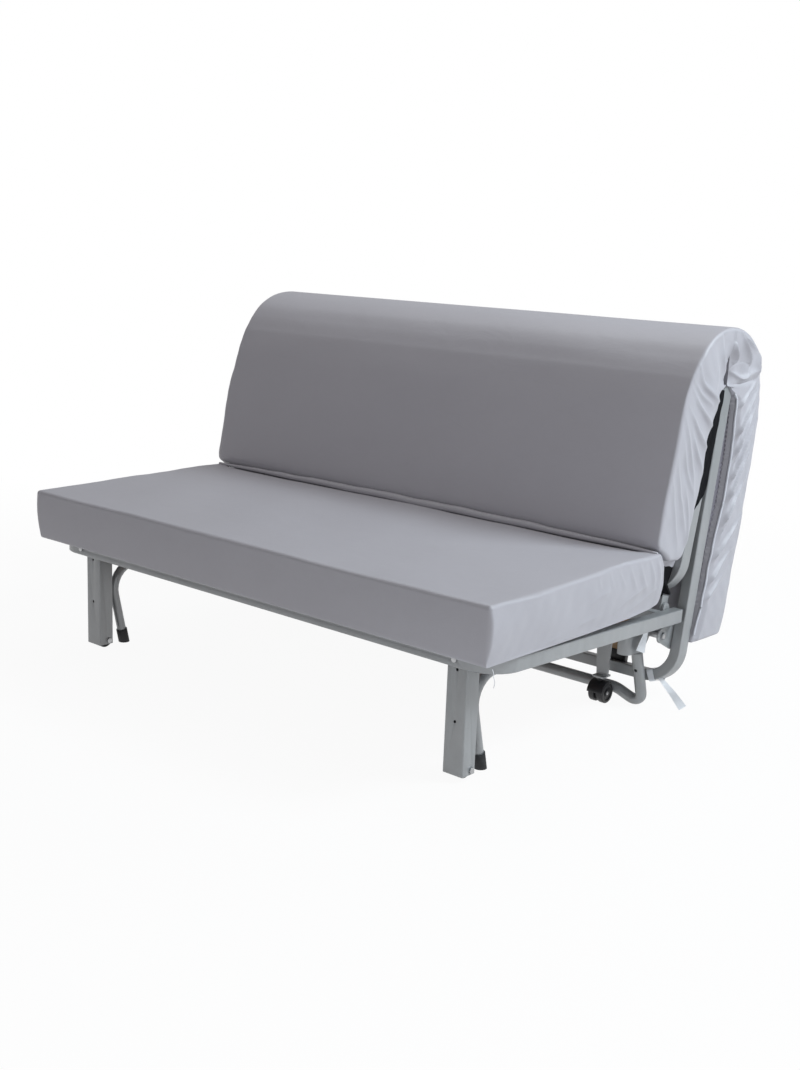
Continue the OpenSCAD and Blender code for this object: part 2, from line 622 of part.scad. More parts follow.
// ---- Mattress ----
pad_w = mattress_w - 2 * tuck;
seat_top = pad_low + seat_pad_t;
valley_turn = 2; // half the angle of the valley fold, about the seat hinge
crease = 128.3; // direction of the crease from the seat hinge
function ray(a, r) = seat_hinge + [cos(a), sin(a)] * r;
function ray_to_z(a, z) = ray(a, (z - seat_hinge_z) / sin(a));
seat_ray = crease + valley_turn;
back_ray = crease - valley_turn;
seat_end_y = 604; // the full-width pad ends here at its underside

module across(w) side_plate(-w / 2, w) children();

module seat_pad()
    color("lightsteelblue") at_origin() {
        across(mattress_w) polygon([[0, pad_low], [0, seat_top], ray_to_z(seat_ray, seat_top),
            [seat_end_y, seat_top - 40], [seat_end_y, pad_low]]);
        across(pad_w) polygon([[seat_end_y - 60, pad_low], [seat_end_y - 60, seat_top - 10],
            ray_to_z(seat_ray, seat_top - 10), ray_to_z(seat_ray, pad_low)]);
    }

// Where a ray from the seat hinge meets a height above the front frame, in that frame's own space
function ray_on_front(a, n) = [n / tan(a + lean_b - 90), n];
back_low = back_tube_t / 2 + pad_gap; // underside of the back pads
front_end = front_link - pad_gap; // upper end of the front pad, short of the hinge line
front_full_s = 126; // the full-width pad starts here
face_b = crown_face - top_hinge_b;
face_c = crown_face - top_hinge_c;
module front_pad()
    color("lightsteelblue") on_front() {
        across(mattress_w) polygon([[front_full_s, back_low], [front_full_s, front_pad_n],
            [front_link / 2, front_pad_n + 3], [front_link * 0.8, front_pad_n],
            [front_end, face_b], [front_end, back_low]]);
        across(pad_w) polygon([ray_on_front(back_ray, back_low), ray_on_front(back_ray, front_pad_n - 4),
            [front_full_s + 20, front_pad_n - 4], [front_full_s + 20, back_low]]);
    }

valley_r = seat_top - seat_hinge_z; // depth of the notch's bottom from the hinge
valley_in = 30;
module valley_fold()
    color("lightsteelblue") at_origin() across(pad_w) polygon([
        ray(back_ray + 0.15, valley_in), ray(back_ray + 0.15, valley_r / cos(fold_b / 2)),
        ray(crease, valley_r), ray(seat_ray - 0.15, valley_r / cos(fold_b / 2)), ray(seat_ray - 0.15, valley_in)]);

function curve(a, b, c, t) = a * pow(1 - t, 2) + b * 2 * t * (1 - t) + c * t * t;
crown = top_hinge + [0, crown_h];
roll_in = lug_r + 3; // the rolls stay clear of the hinge lugs

// Half of the rounded top, from a pad's face over a shoulder to the crown
module roll(face, shoulder, cut)
    difference() {
        polygon(concat([top_hinge + cut], [for (t = [0 : 0.125 : 1]) curve(face, shoulder, crown + cut, t)]));
        translate(top_hinge) circle(roll_in);
    }
module front_roll()
    color("lightsteelblue") at_origin() across(mattress_w)
        roll(top_hinge + out_b * crown_face, crown - [111, 0], [0, 0]);
module rear_roll()
    color("lightsteelblue") at_origin() across(mattress_w)
        roll(top_hinge + out_c * crown_face, crown + [143, 0], [pad_gap, 0]);

rear_end = top_c - pad_gap;
bulge_s = 430; // where the rear pad is deepest, above the pivot
rear_pad_s = -12; // lower end of the rear pad
module rear_pad()
    color("lightsteelblue") on_rear() across(mattress_w) polygon([
        [rear_pad_s, back_low], [rear_end, back_low], [rear_end, face_c],
        [bulge_s, rear_pad_n], [170, rear_pad_n - 2], [50, rear_pad_n - 5], [rear_pad_s, rear_pad_n - 13]]);

// Ties round the lower corners of the rear frame, part of the way round the bend
tie_turn = 20;
tie_w = 16;
tie_t = 1.2;
tie_gap = 1.6; // room between tube and tie
module mattress_ties()
    color("whitesmoke") on_rear() both_sides() translate([side_x - back_bend, rear_low + back_bend, 0])
        rotate([0, 0, tie_turn]) translate([-tie_w / 2, -back_bend, 0]) rotate([90, 0, 90])
            linear_extrude(tie_w) difference() {
                rounded(tube_w + 2 * tie_t + tie_gap, back_tube_t + 2 * tie_t + tie_gap, edge_r + 1);
                rounded(tube_w + tie_gap, back_tube_t + tie_gap, edge_r);
            }

base_side_left();
base_side_right();
base_rear_loop();
foot_caps();
pivot_brackets();
pivot_bolts();
pivot_spacers();
rear_frame_tube();
rear_top_bar();
pivot_plates();
rear_hinge_lugs();
rear_slats();
rear_slat_holders();
top_hinge_bolts();
rear_pad();
rear_roll();
front_frame_tube();
front_top_bar();
front_hinge_lugs();
seat_hinge_lugs();
front_slats();
front_slat_holders();
front_pad();
front_roll();
seat_frame_tube();
seat_rear_bar();
rail_hinge_plates();
seat_hinge_bolts();
rail_plugs();
seat_slats();
seat_slat_holders();
front_leg_left();
front_leg_right();
leg_bolts();
front_wheel_left();
front_wheel_right();
front_axles();
castor_brackets();
castor_hoods();
castor_wheels_left();
castor_wheels_right();
castor_axles();
seat_pad();
valley_fold();
mattress_ties();
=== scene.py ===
"""A fold-out sofa bed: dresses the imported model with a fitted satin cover, steel, rubber, plastic and beech."""

import json
import math

import bpy
import numpy as np
from mathutils import Matrix, Vector


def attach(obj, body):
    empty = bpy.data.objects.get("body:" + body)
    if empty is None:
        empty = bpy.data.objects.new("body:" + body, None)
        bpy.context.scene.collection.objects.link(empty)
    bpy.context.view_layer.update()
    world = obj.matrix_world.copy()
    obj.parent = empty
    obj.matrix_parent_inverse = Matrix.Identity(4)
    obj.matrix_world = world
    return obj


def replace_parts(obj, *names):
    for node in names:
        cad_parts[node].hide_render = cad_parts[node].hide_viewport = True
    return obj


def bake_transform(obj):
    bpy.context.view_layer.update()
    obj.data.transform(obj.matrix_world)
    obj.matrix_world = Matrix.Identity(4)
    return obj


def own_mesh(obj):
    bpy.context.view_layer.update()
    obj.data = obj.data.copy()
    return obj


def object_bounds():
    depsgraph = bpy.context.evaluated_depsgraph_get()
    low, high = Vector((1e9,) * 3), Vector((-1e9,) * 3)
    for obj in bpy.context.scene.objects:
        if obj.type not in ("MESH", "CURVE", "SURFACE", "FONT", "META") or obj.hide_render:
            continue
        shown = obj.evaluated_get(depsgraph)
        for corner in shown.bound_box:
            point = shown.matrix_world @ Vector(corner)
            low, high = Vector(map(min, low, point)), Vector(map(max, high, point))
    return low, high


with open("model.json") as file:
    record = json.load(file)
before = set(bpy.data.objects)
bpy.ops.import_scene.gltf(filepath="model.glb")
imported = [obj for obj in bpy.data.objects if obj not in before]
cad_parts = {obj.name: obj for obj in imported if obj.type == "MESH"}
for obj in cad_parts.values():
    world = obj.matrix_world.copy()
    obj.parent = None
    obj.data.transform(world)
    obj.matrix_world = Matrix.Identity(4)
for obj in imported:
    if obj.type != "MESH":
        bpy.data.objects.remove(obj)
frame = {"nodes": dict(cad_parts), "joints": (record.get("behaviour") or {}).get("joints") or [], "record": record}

CAD_LOW, CAD_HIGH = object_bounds()
HALF = CAD_HIGH.x  # half the mattress width
FRONT_Y = CAD_LOW.y  # the seat's front face; side views below measure depth from it
JOINTS = {j["name"]: j for j in frame["joints"]}
PIVOT, TOP_HINGE, SEAT_HINGE = (np.array(JOINTS[name]["pos_m"][1:])
                                for name in ("fold", "top_hinge", "seat_hinge"))


# ---------------------------------------------------------------- materials

class Value:
    """A shader socket. Sums, products and so on of it add Math nodes."""

    def __init__(self, finish, socket):
        self.finish = finish
        self.socket = socket

    def math(self, operation, *values):
        return self.finish.node("ShaderNodeMath", {"operation": operation}, dict(enumerate(values)))

    def __add__(self, other):
        return self.math("ADD", self, other)

    def __radd__(self, other):
        return self.math("ADD", other, self)

    def __sub__(self, other):
        return self.math("SUBTRACT", self, other)

    def __rsub__(self, other):
        return self.math("SUBTRACT", other, self)

    def __mul__(self, other):
        return self.math("MULTIPLY", self, other)

    def __rmul__(self, other):
        return self.math("MULTIPLY", other, self)

    def __truediv__(self, other):
        return self.math("DIVIDE", self, other)

    def __rtruediv__(self, other):
        return self.math("DIVIDE", other, self)

    def clamped(self):
        return self.math("MINIMUM", self.math("MAXIMUM", self, 0.0), 1.0)


class Finish:
    """The nodes of a material or of the world. node() adds any node: its settings first, then its sockets."""

    def __init__(self, holder):
        self.holder = holder
        holder.use_nodes = True
        self.tree = holder.node_tree
        self.tree.nodes.clear()

    def node(self, kind, settings=None, sockets=None, out=0):
        made = self.tree.nodes.new(kind)
        for key, value in (settings or {}).items():
            setattr(made, key, value)
        for key, value in (sockets or {}).items():
            socket = made.inputs[key]
            if isinstance(value, Value):
                self.tree.links.new(value.socket, socket)
            elif socket.type == "RGBA":
                socket.default_value = (*value, 1.0)
            else:
                socket.default_value = value
        return Value(self, made.outputs[out])

    def place(self):
        return self.node("ShaderNodeTexCoord", out="Object")

    def mapped(self, scale):
        return self.node("ShaderNodeMapping", {}, {"Vector": self.place(), "Scale": scale})

    def noise(self, vector, scale, detail=2.0, rough=0.5, distortion=0.0):
        return self.node("ShaderNodeTexNoise", {}, {"Vector": vector, "Scale": scale, "Detail": detail,
                                                   "Roughness": rough, "Distortion": distortion})

    def wave(self, vector, scale, direction="X", distortion=0.0, detail=1.0):
        return self.node("ShaderNodeTexWave", {"wave_type": "BANDS", "bands_direction": direction},
                         {"Vector": vector, "Scale": scale, "Distortion": distortion, "Detail": detail}, out="Fac")

    def mix(self, share, first, second):
        return self.node("ShaderNodeMix", {"data_type": "RGBA"}, {0: share, 6: first, 7: second}, out=2)

    def bump(self, height, strength, distance, normal=None):
        under = {} if normal is None else {"Normal": normal}
        return self.node("ShaderNodeBump", {}, {"Height": height, "Strength": strength, "Distance": distance,
                                                **under})

    def shown(self, shader, kind="ShaderNodeOutputMaterial"):
        """Ends the nodes with a shader, and gives back the material or the world."""
        end = self.tree.nodes.new(kind)
        self.tree.links.new(shader.socket, end.inputs["Surface"])
        return self.holder

    def done(self, **sockets):
        names = {key.replace("_", " "): value for key, value in sockets.items()}
        return self.shown(self.node("ShaderNodeBsdfPrincipled", {}, names))


def material(name):
    return Finish(bpy.data.materials.new(name))


THREADS = 420.0  # scale of the bands that make the cover's weave


def satin(name, colour, shade):
    """Polyester satin: a fine plain weave, a soft sheen and the faint crush marks of a thin cover."""
    f = material(name)
    cloudy = f.noise(f.place(), 2.3, 3.0, 0.55)  # patches about half a metre across
    crush = f.noise(f.mapped((1.0, 1.6, 1.6)), 9.0, 4.0, 0.6, 0.8)
    fine = f.noise(f.place(), 60.0, 3.0, 0.6)
    warp = f.wave(f.mapped((1, 0, 0)), THREADS)
    weft = f.wave(f.mapped((0, 1, 1)), THREADS, "DIAGONAL")
    tone = (cloudy * 0.7 + fine * 0.3).clamped()
    base = f.mix(tone, shade, colour)
    hills = f.bump(crush, 0.25, 0.004)
    weave = f.bump(warp * 0.3 + weft * 0.3 + fine * 0.4, 0.10, 0.0004, hills)
    return f.done(Base_Color=base, Roughness=0.40 + crush * 0.16, Normal=weave, Sheen_Weight=0.12,
                  Sheen_Roughness=0.35, Specular_IOR_Level=0.55)


def powder_coat(name, colour, dark):
    """Silver-grey powder coat over steel tube, with its fine peel, uneven smears and dark scuffs."""
    f = material(name)
    peel = f.noise(f.place(), 900.0, 2.0, 0.5)
    smear = f.noise(f.mapped((1.0, 3.0, 1.0)), 7.0, 5.0, 0.62, 0.4)
    scuffs = f.noise(f.mapped((9.0, 1.0, 9.0)), 26.0, 4.0, 0.7)
    worn = ((scuffs - 0.66) * 9.0).clamped()
    base = f.mix((smear * 1.2 - 0.1).clamped(), dark, colour)
    base = f.mix(worn * 0.35, base, (0.10, 0.105, 0.11))
    normal = f.bump(peel, 0.12, 0.0003)
    return f.done(Base_Color=base, Metallic=0.30, Roughness=0.30 + smear * 0.14 + worn * 0.12, Normal=normal)


def zinc(name):
    """Zinc-plated bolts and pins, slightly dulled."""
    f = material(name)
    cloud = f.noise(f.place(), 160.0, 4.0, 0.6)
    base = f.mix(cloud, (0.36, 0.36, 0.37), (0.60, 0.61, 0.62))
    return f.done(Base_Color=base, Metallic=0.95, Roughness=0.28 + cloud * 0.2, Normal=f.bump(cloud, 0.1, 0.0003))


def rubber(name):
    """Black rubber with a dusty bloom."""
    f = material(name)
    dust = f.noise(f.place(), 55.0, 5.0, 0.65)
    base = f.mix(((dust - 0.45) * 2.4).clamped(), (0.012, 0.012, 0.014), (0.045, 0.045, 0.048))
    grain = f.noise(f.place(), 1400.0, 2.0)
    return f.done(Base_Color=base, Roughness=0.55 + dust * 0.25, Normal=f.bump(grain, 0.15, 0.0003))


def moulded(name):
    """Black moulded plastic with a fine spark-eroded grain."""
    f = material(name)
    grain = f.noise(f.place(), 1100.0, 3.0, 0.6)
    wear = f.noise(f.place(), 34.0, 4.0, 0.6)
    base = f.mix(((wear - 0.5) * 2.0).clamped(), (0.010, 0.010, 0.012), (0.028, 0.028, 0.031))
    return f.done(Base_Color=base, Roughness=0.30 + wear * 0.18, Normal=f.bump(grain, 0.14, 0.0003))


def beech(name):
    """Laminated beech slats, their grain along X, with the short dark flecks of beech."""
    f = material(name)
    long_way = f.mapped((1.0, 14.0, 14.0))
    grain = f.noise(long_way, 9.0, 6.0, 0.62, 0.9)
    rings = f.wave(f.mapped((0.35, 9.0, 9.0)), 6.0, "DIAGONAL", 5.0, 3.0)
    flecks = f.noise(f.mapped((28.0, 320.0, 320.0)), 2.2, 1.0)
    spots = ((flecks - 0.62) * 12.0).clamped()
    base = f.mix((grain * 0.6 + rings * 0.4).clamped(), (0.36, 0.20, 0.095), (0.56, 0.36, 0.19))
    base = f.mix(spots * 0.5, base, (0.22, 0.11, 0.05))
    return f.done(Base_Color=base, Roughness=0.38 + grain * 0.16, Coat_Weight=0.25, Coat_Roughness=0.25,
                  Normal=f.bump(grain * 0.7 + spots * 0.3, 0.2, 0.0006))


def felt(name):
    """Black non-woven underlay: matt, with a slightly pilled surface. It also makes painted shade in the crease
    gussets.
    """
    f = material(name)
    pills = f.noise(f.place(), 240.0, 4.0, 0.6)
    base = f.mix(pills, (0.004, 0.004, 0.005), (0.013, 0.013, 0.015))
    return f.done(Base_Color=base, Roughness=0.95, Specular_IOR_Level=0.12, Normal=f.bump(pills, 0.3, 0.0005))


def woven_ribbon(name):
    """White polyester ribbon with fine ribs across it."""
    f = material(name)
    ribs = f.wave(f.mapped((1, 1, 1)), 700.0, "Z")
    soft = f.noise(f.place(), 90.0, 3.0)
    base = f.mix(soft, (0.82, 0.83, 0.86), (0.93, 0.94, 0.96))
    return f.done(Base_Color=base, Roughness=0.42 + ribs * 0.1, Sheen_Weight=0.2,
                  Normal=f.bump(ribs, 0.25, 0.0003))


COVER = satin("cover_satin", (0.475, 0.462, 0.495), (0.425, 0.412, 0.445))
# The gathered strip inside the rear hem: partly a darker purple-grey cloth, partly painted shade of its recess.
STRIP_TONE_AND_SHADE = satin("cover_gathered_strip_dark_and_painted_shade", (0.22, 0.205, 0.235), (0.15, 0.14, 0.165))
# Lighter than the cover: a painted highlight along the piping.
PIPING_PAINTED_HIGHLIGHT = satin("hem_piping_painted_highlight", (0.62, 0.62, 0.66), (0.56, 0.56, 0.60))
# Also used as the painted shade of the crease gussets.
UNDERLAY_AND_SHADE = felt("black_underlay_and_painted_shade")
STEEL = powder_coat("frame_powder_coat", (0.400, 0.408, 0.415), (0.270, 0.277, 0.283))
ZINC = zinc("bolt_zinc")
RUBBER = rubber("foot_rubber")
MOULDED = moulded("black_moulded_plastic")
BEECH = beech("beech_slats")
RIBBON = woven_ribbon("tie_ribbon")
FINISH_OF_SLOT = {"frame": STEEL, "bolts": ZINC, "rubber": RUBBER, "black_plastic": MOULDED, "beech": BEECH,
                  "cover": COVER, "ribbon": RIBBON}


# ---------------------------------------------------------------- working on pieces

def only(piece):
    bpy.ops.object.select_all(action="DESELECT")
    piece.select_set(True)
    bpy.context.view_layer.objects.active = piece


def added(name, mesh):
    """A new piece at the origin, and the only one selected."""
    piece = bpy.data.objects.new(name, mesh)
    bpy.context.scene.collection.objects.link(piece)
    only(piece)
    return piece


def sewn(name, points, faces):
    """A new piece from its points and the faces between them."""
    mesh = bpy.data.meshes.new(name)
    mesh.from_pydata(points.tolist(), [], faces)
    mesh.update()
    return added(name, mesh)


def smooth_shaded(hard_deg):
    """Shades the selected piece smooth, apart from edges sharper than hard_deg."""
    bpy.ops.object.shade_smooth_by_angle(angle=math.radians(hard_deg))


def give(piece, body, finish):
    """Sets a piece's material and makes it ride on a body."""
    piece.data.materials.clear()
    piece.data.materials.append(finish)
    if body:
        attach(piece, body)
    return piece


def second_finish(piece, finish, faces):
    """Gives some of a piece's faces another material."""
    piece.data.materials.append(finish)
    piece.data.polygons.foreach_set("material_index", faces.astype(np.int32))


BODY_OF_NODE = {n: body for body, nodes in frame["record"]["behaviour"]["bodies"].items() for n in nodes}
EASED = {"frame": 0.0006, "bolts": 0.0003, "rubber": 0.0006, "black_plastic": 0.0005, "beech": 0.0008}
WELD = 0.00001  # the CAD meshes' loose triangles are joined within this
FLAT_DEG, CURVE_DEG, CORNER_DEG = 0.6, 40, 48  # faces in one plane, faces of one curve, edges to ease


def finished(node, slot_name):
    """A welded copy of a CAD node with eased edges and smooth curves. It stands for the node."""
    piece = added(node + "_finished", frame["nodes"][node].data.copy())
    bpy.ops.object.mode_set(mode="EDIT")
    bpy.ops.mesh.select_all(action="SELECT")
    bpy.ops.mesh.remove_doubles(threshold=WELD)
    bpy.ops.mesh.dissolve_limited(angle_limit=math.radians(FLAT_DEG))
    bpy.ops.object.mode_set(mode="OBJECT")
    bevel = piece.modifiers.new("eased_edges", "BEVEL")
    bevel.width = EASED[slot_name]
    bevel.segments = 2
    bevel.limit_method = "ANGLE"
    bevel.angle_limit = math.radians(CORNER_DEG)
    bpy.ops.object.modifier_apply(modifier=bevel.name)
    smooth_shaded(CURVE_DEG)
    give(piece, BODY_OF_NODE[node], FINISH_OF_SLOT[slot_name])
    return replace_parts(piece, node)


for subpart in frame["record"]["subparts"]:
    if subpart["material_slot"] in EASED:
        finished(subpart["node"], subpart["material_slot"])


# ---------------------------------------------------------------- side views and blocks

LEAN_FRONT, LEAN_REAR = math.radians(12.9), math.radians(9.8)
UP_FRONT = np.array([math.sin(LEAN_FRONT), math.cos(LEAN_FRONT)])
OUT_FRONT = np.array([-math.cos(LEAN_FRONT), math.sin(LEAN_FRONT)])
UP_REAR = np.array([math.sin(LEAN_REAR), math.cos(LEAN_REAR)])
OUT_REAR = np.array([math.cos(LEAN_REAR), -math.sin(LEAN_REAR)])
PIVOT_TO_REAR = 0.0632968  # from the base pivot out to the middle of the rear frame's tubes
REAR_FOOT = PIVOT + OUT_REAR * PIVOT_TO_REAR
TOP_B = float((TOP_HINGE - SEAT_HINGE) @ UP_FRONT)  # height of the top hinge up the front section
TOP_C = float((TOP_HINGE - REAR_FOOT) @ UP_REAR)  # and up the rear section


def side(y, z):
    """A point in the side view, with its depth measured from the seat's front face."""
    return np.array([FRONT_Y + y, z])


def front(s, n):
    """A side-view point s up the front back section and n out from its frame."""
    return SEAT_HINGE + UP_FRONT * s + OUT_FRONT * n


def rear(s, n):
    """A side-view point s up the rear back section and n out from its frame."""
    return REAR_FOOT + UP_REAR * s + OUT_REAR * n


def column(values):
    return np.asarray(values)[:, None]


def smooth(t):
    t = np.clip(t, 0, 1)
    return t * t * (3 - 2 * t)


def blended(a, b, share):
    return a * (1 - share) + b * share


def lengths_along(line):
    """How far along a line each of its points is."""
    return np.concatenate([[0], np.cumsum(np.linalg.norm(np.diff(line, axis=0), axis=1))])


def unit(ways):
    return ways / np.linalg.norm(ways, axis=-1, keepdims=True)


def spline(points, count):
    """A smooth line through points, sampled evenly along its length."""
    p = np.array(points, float)
    p = np.vstack([2 * p[0] - p[1], p, 2 * p[-1] - p[-2]])
    out = []
    for i in range(1, len(p) - 2):
        t = np.linspace(0, 1, 16, endpoint=False)[:, None]
        a, b, c, d = p[i - 1:i + 3]
        bend, twist = 2 * a - 5 * b + 4 * c - d, 3 * b - a - 3 * c + d
        out.append(0.5 * (2 * b + (c - a) * t + bend * t**2 + twist * t**3))
    line = np.vstack([*out, p[-2][None]])
    run = lengths_along(line)
    at = np.linspace(0, run[-1], count)
    return np.stack([np.interp(at, run, line[:, k]) for k in range(line.shape[1])], axis=1)


def ripples(p, scale, seed, waves=10):
    """A soft, uneven field of about -1 to 1 over points p: a few slanting waves of near scale."""
    rng = np.random.default_rng(seed)
    total = np.zeros(len(p))
    for _ in range(waves):
        turn = rng.normal(size=p.shape[1])
        turn *= rng.uniform(0.6, 1.6) / (np.linalg.norm(turn) * scale)
        total += np.sin(2 * math.pi * (p @ turn) + rng.uniform(0, 2 * math.pi))
    return total / math.sqrt(waves) / 1.2


def spaced(low, high, radius, middle, round_low=True, round_high=True, corner=5):
    """Places along one side of a block, close together where its edges are rounded."""
    steps = radius * np.tan(np.radians(45 * np.arange(corner, -1, -1) / corner))
    a = low + radius - steps if round_low else np.array([low])
    b = (high - radius + steps[::-1]) if round_high else np.array([high])
    inner = np.linspace(a[-1], b[0], middle + 1)[1:-1]
    return np.concatenate([a, inner, b])


SIDES = ((1, "right"), (-1, "left"))
ALL_FLAT = [(axis, end) for axis in range(3) for end in (0, 1)]


class Block:
    """A closed block of quads with rounded edges, apart from the flat ends of its axes.
    raw holds its grid's points, at the same with the edges rounded, and out the way each rounded one faces."""

    def __init__(self, places, radius, flat=()):
        size = [len(p) for p in places]
        corners, faces = [], []
        for axis in range(3):
            b, c = (axis + 1) % 3, (axis + 2) % 3
            for end in (0, size[axis] - 1):
                j, k = np.meshgrid(np.arange(size[b]), np.arange(size[c]), indexing="ij")
                index = np.zeros((size[b], size[c], 3), int)
                index[..., axis], index[..., b], index[..., c] = end, j, k
                key = (index[..., 0] * size[1] + index[..., 1]) * size[2] + index[..., 2]
                quad = np.stack([key[:-1, :-1], key[1:, :-1], key[1:, 1:], key[:-1, 1:]], -1).reshape(-1, 4)
                faces.append(quad if end else quad[:, ::-1])
                corners.append(index.reshape(-1, 3))
        index = np.unique(np.concatenate(corners), axis=0)
        order = (index[:, 0] * size[1] + index[:, 1]) * size[2] + index[:, 2]
        self.faces = np.searchsorted(order, np.concatenate(faces))
        self.raw = np.stack([places[a][index[:, a]] for a in range(3)], 1)
        low = np.array([places[a][0] + (0 if (a, 0) in flat else radius) for a in range(3)])
        high = np.array([places[a][-1] - (0 if (a, 1) in flat else radius) for a in range(3)])
        inner = np.clip(self.raw, low, high)
        offset = self.raw - inner
        far = np.linalg.norm(offset, axis=1)
        far = np.where(far > 1e-9, far, 1)
        self.at = inner + offset * column(np.abs(offset).max(1) / far)
        self.out = offset / column(far)

    def made(self, name, x, p):
        """The block as a piece, its points moved to widths x and side-view places p."""
        piece = sewn(name, np.column_stack([x, p]), self.faces.tolist())
        smooth_shaded(60)
        return piece


def folds(points, lines):
    """How far cloth stands out at points of a side view. Each line is a ridge with a valley on both sides, and
    comes with its width and height, and where it has one, how much steeper it is beyond its crest."""
    total = np.zeros(len(points))
    rows = np.arange(len(points))
    for line, width, height, *drop in lines:
        path = spline([side(*p) for p in line], 28)
        run = unit(np.gradient(path, axis=0))
        across_way = np.stack([-run[:, 1], run[:, 0]], 1)
        gap = points[:, None, :] - path[None]
        nearest = (gap**2).sum(2).argmin(1)
        beside = (gap[rows, nearest] * across_way[nearest]).sum(1)
        past = (gap[rows, nearest] * run[nearest]).sum(1)
        t = nearest / (len(path) - 1)
        fade = np.sin(math.pi * np.clip(t, 0.03, 0.97)) ** 0.6 * np.exp(-((past / (2 * width)) ** 2))
        q = beside / (width * (0.75 + 0.5 * t)) * np.where(beside > 0, drop[0] if drop else 1, 1)
        crest = np.exp(-1.15 * (np.sqrt(q * q + 0.06) - 0.245))
        total += height * fade * (crest - 0.42 * np.exp(-((q / 2.3) ** 2)))
    return total


# ---------------------------------------------------------------- the cover's sides

# Creases in the side view: the points of a line, then its width, its height and how much steeper its far side is.
FRONT_FOLDS = [
    ([(0.706, 0.785), (0.719, 0.757), (0.753, 0.731), (0.801, 0.705)], 0.009, 0.0095),
    ([(0.692, 0.755), (0.722, 0.728), (0.768, 0.7)], 0.006, 0.005),
    ([(0.696, 0.73), (0.73, 0.693), (0.787, 0.648)], 0.009, 0.0095),
    ([(0.682, 0.695), (0.722, 0.646), (0.775, 0.598)], 0.009, 0.0095),
    ([(0.664, 0.675), (0.684, 0.627), (0.705, 0.57), (0.722, 0.5)], 0.0085, 0.007),
    ([(0.7, 0.64), (0.722, 0.6), (0.752, 0.555)], 0.008, 0.008),
    ([(0.667, 0.618), (0.688, 0.56), (0.719, 0.51)], 0.007, 0.006),
    ([(0.644, 0.59), (0.666, 0.51), (0.701, 0.415)], 0.008, 0.006),
    ([(0.629, 0.548), (0.646, 0.479), (0.667, 0.398)], 0.007, 0.004),
    ([(0.689, 0.519), (0.704, 0.46), (0.706, 0.395)], 0.006, 0.007),
    ([(0.787, 0.781), (0.77, 0.734)], 0.01, 0.004),
]
REAR_FOLDS = [
    ([(0.765, 0.195), (0.816, 0.249), (0.896, 0.303)], 0.0075, 0.0113, 1.7),
    ([(0.774, 0.233), (0.841, 0.301), (0.923, 0.361)], 0.0084, 0.0145, 1.7),
    ([(0.789, 0.28), (0.858, 0.36), (0.954, 0.432)], 0.009, 0.0151, 1.7),
    ([(0.809, 0.341), (0.873, 0.432), (0.959, 0.522)], 0.0084, 0.0145, 1.7),
    ([(0.825, 0.39), (0.887, 0.486), (0.973, 0.591)], 0.0079, 0.0151, 1.7),
    ([(0.839, 0.443), (0.902, 0.539), (0.984, 0.652)], 0.009, 0.0165, 1.7),
    ([(0.852, 0.499), (0.911, 0.597), (0.991, 0.697)], 0.0084, 0.0145, 1.7),
    ([(0.862, 0.562), (0.919, 0.649), (0.993, 0.734)], 0.0084, 0.0151, 1.7),
    ([(0.863, 0.628), (0.905, 0.691), (0.974, 0.747)], 0.0069, 0.0113, 1.7),
    ([(0.854, 0.459), (0.897, 0.546), (0.925, 0.631)], 0.005, 0.0063, 1.7),
    ([(0.848, 0.379), (0.889, 0.435), (0.943, 0.486)], 0.005, 0.0063, 1.7),
]
TOP_FOLDS = [  # pleats of the gather: each rises slowly to a crest and drops away behind it
    ([(0.799, 0.832), (0.807, 0.811), (0.829, 0.774), (0.833, 0.745), (0.802, 0.721)], 0.02, 0.011, 4),
    ([(0.854, 0.842), (0.855, 0.822), (0.871, 0.8), (0.862, 0.783)], 0.014, 0.022, 5),
    ([(0.886, 0.851), (0.912, 0.821), (0.93, 0.791), (0.925, 0.777)], 0.015, 0.02, 5),
    ([(0.903, 0.847), (0.944, 0.825), (0.967, 0.811)], 0.01, 0.009, 3),
    ([(0.976, 0.81), (0.972, 0.785), (0.976, 0.754)], 0.014, 0.014, 5),
    ([(0.868, 0.77), (0.902, 0.754), (0.932, 0.763), (0.969, 0.768)], 0.008, 0.012),
    ([(0.88, 0.742), (0.923, 0.744), (0.973, 0.75)], 0.006, -0.008),
]
GATHER = side(0.848, 0.758)  # the cover is bunched here, over the tube tops
POUCH = side(0.765, 0.735)  # and loose here, in front of the gather
PROUD = 0.022  # the furthest that a crease may stand out


def hill(p, centre, reach):
    """A round hill, 1 high at its centre, over points of the side view."""
    return np.exp(-(np.linalg.norm((p - centre) / reach, axis=1) ** 2))


def back_side_x(p, hand):
    """Half width of the folded back at side-view points: drawn in at the gather, with its folds."""
    drawn = 0.012 * (hill(p, GATHER, 0.055) + hill(p, GATHER, 0.018))
    pouch = 0.008 * hill(p, POUCH, [0.030, 0.055])
    soft = ripples(p, 0.16, 11 + hand) * 0.0018 + ripples(p, 0.055, 23 + hand) * 0.0006
    x = HALF - 0.003 - drawn + folds(p, FRONT_FOLDS + REAR_FOLDS + TOP_FOLDS) + pouch + soft
    if hand < 0:  # the left side flares out towards its foot
        x += 0.013 * smooth((0.82 - p[:, 1]) / 0.22) * smooth((0.86 - p[:, 0] + FRONT_Y) / 0.06)
    return np.minimum(x, HALF + PROUD)


def sided(block, x, p, hand_shape):
    """x with the sides of a block moved to hand_shape(points, hand), its rounded edges going with them."""
    share = np.clip(np.abs(block.out[:, 0]), 0, 1) ** 1.5
    moved = x.copy()
    for hand in (-1, 1):
        on = (np.sign(x) == hand) & (share > 0)
        moved[on] = x[on] + hand * share[on] * (hand_shape(p[on], hand) - HALF)
    return moved


# ---------------------------------------------------------------- the folded back

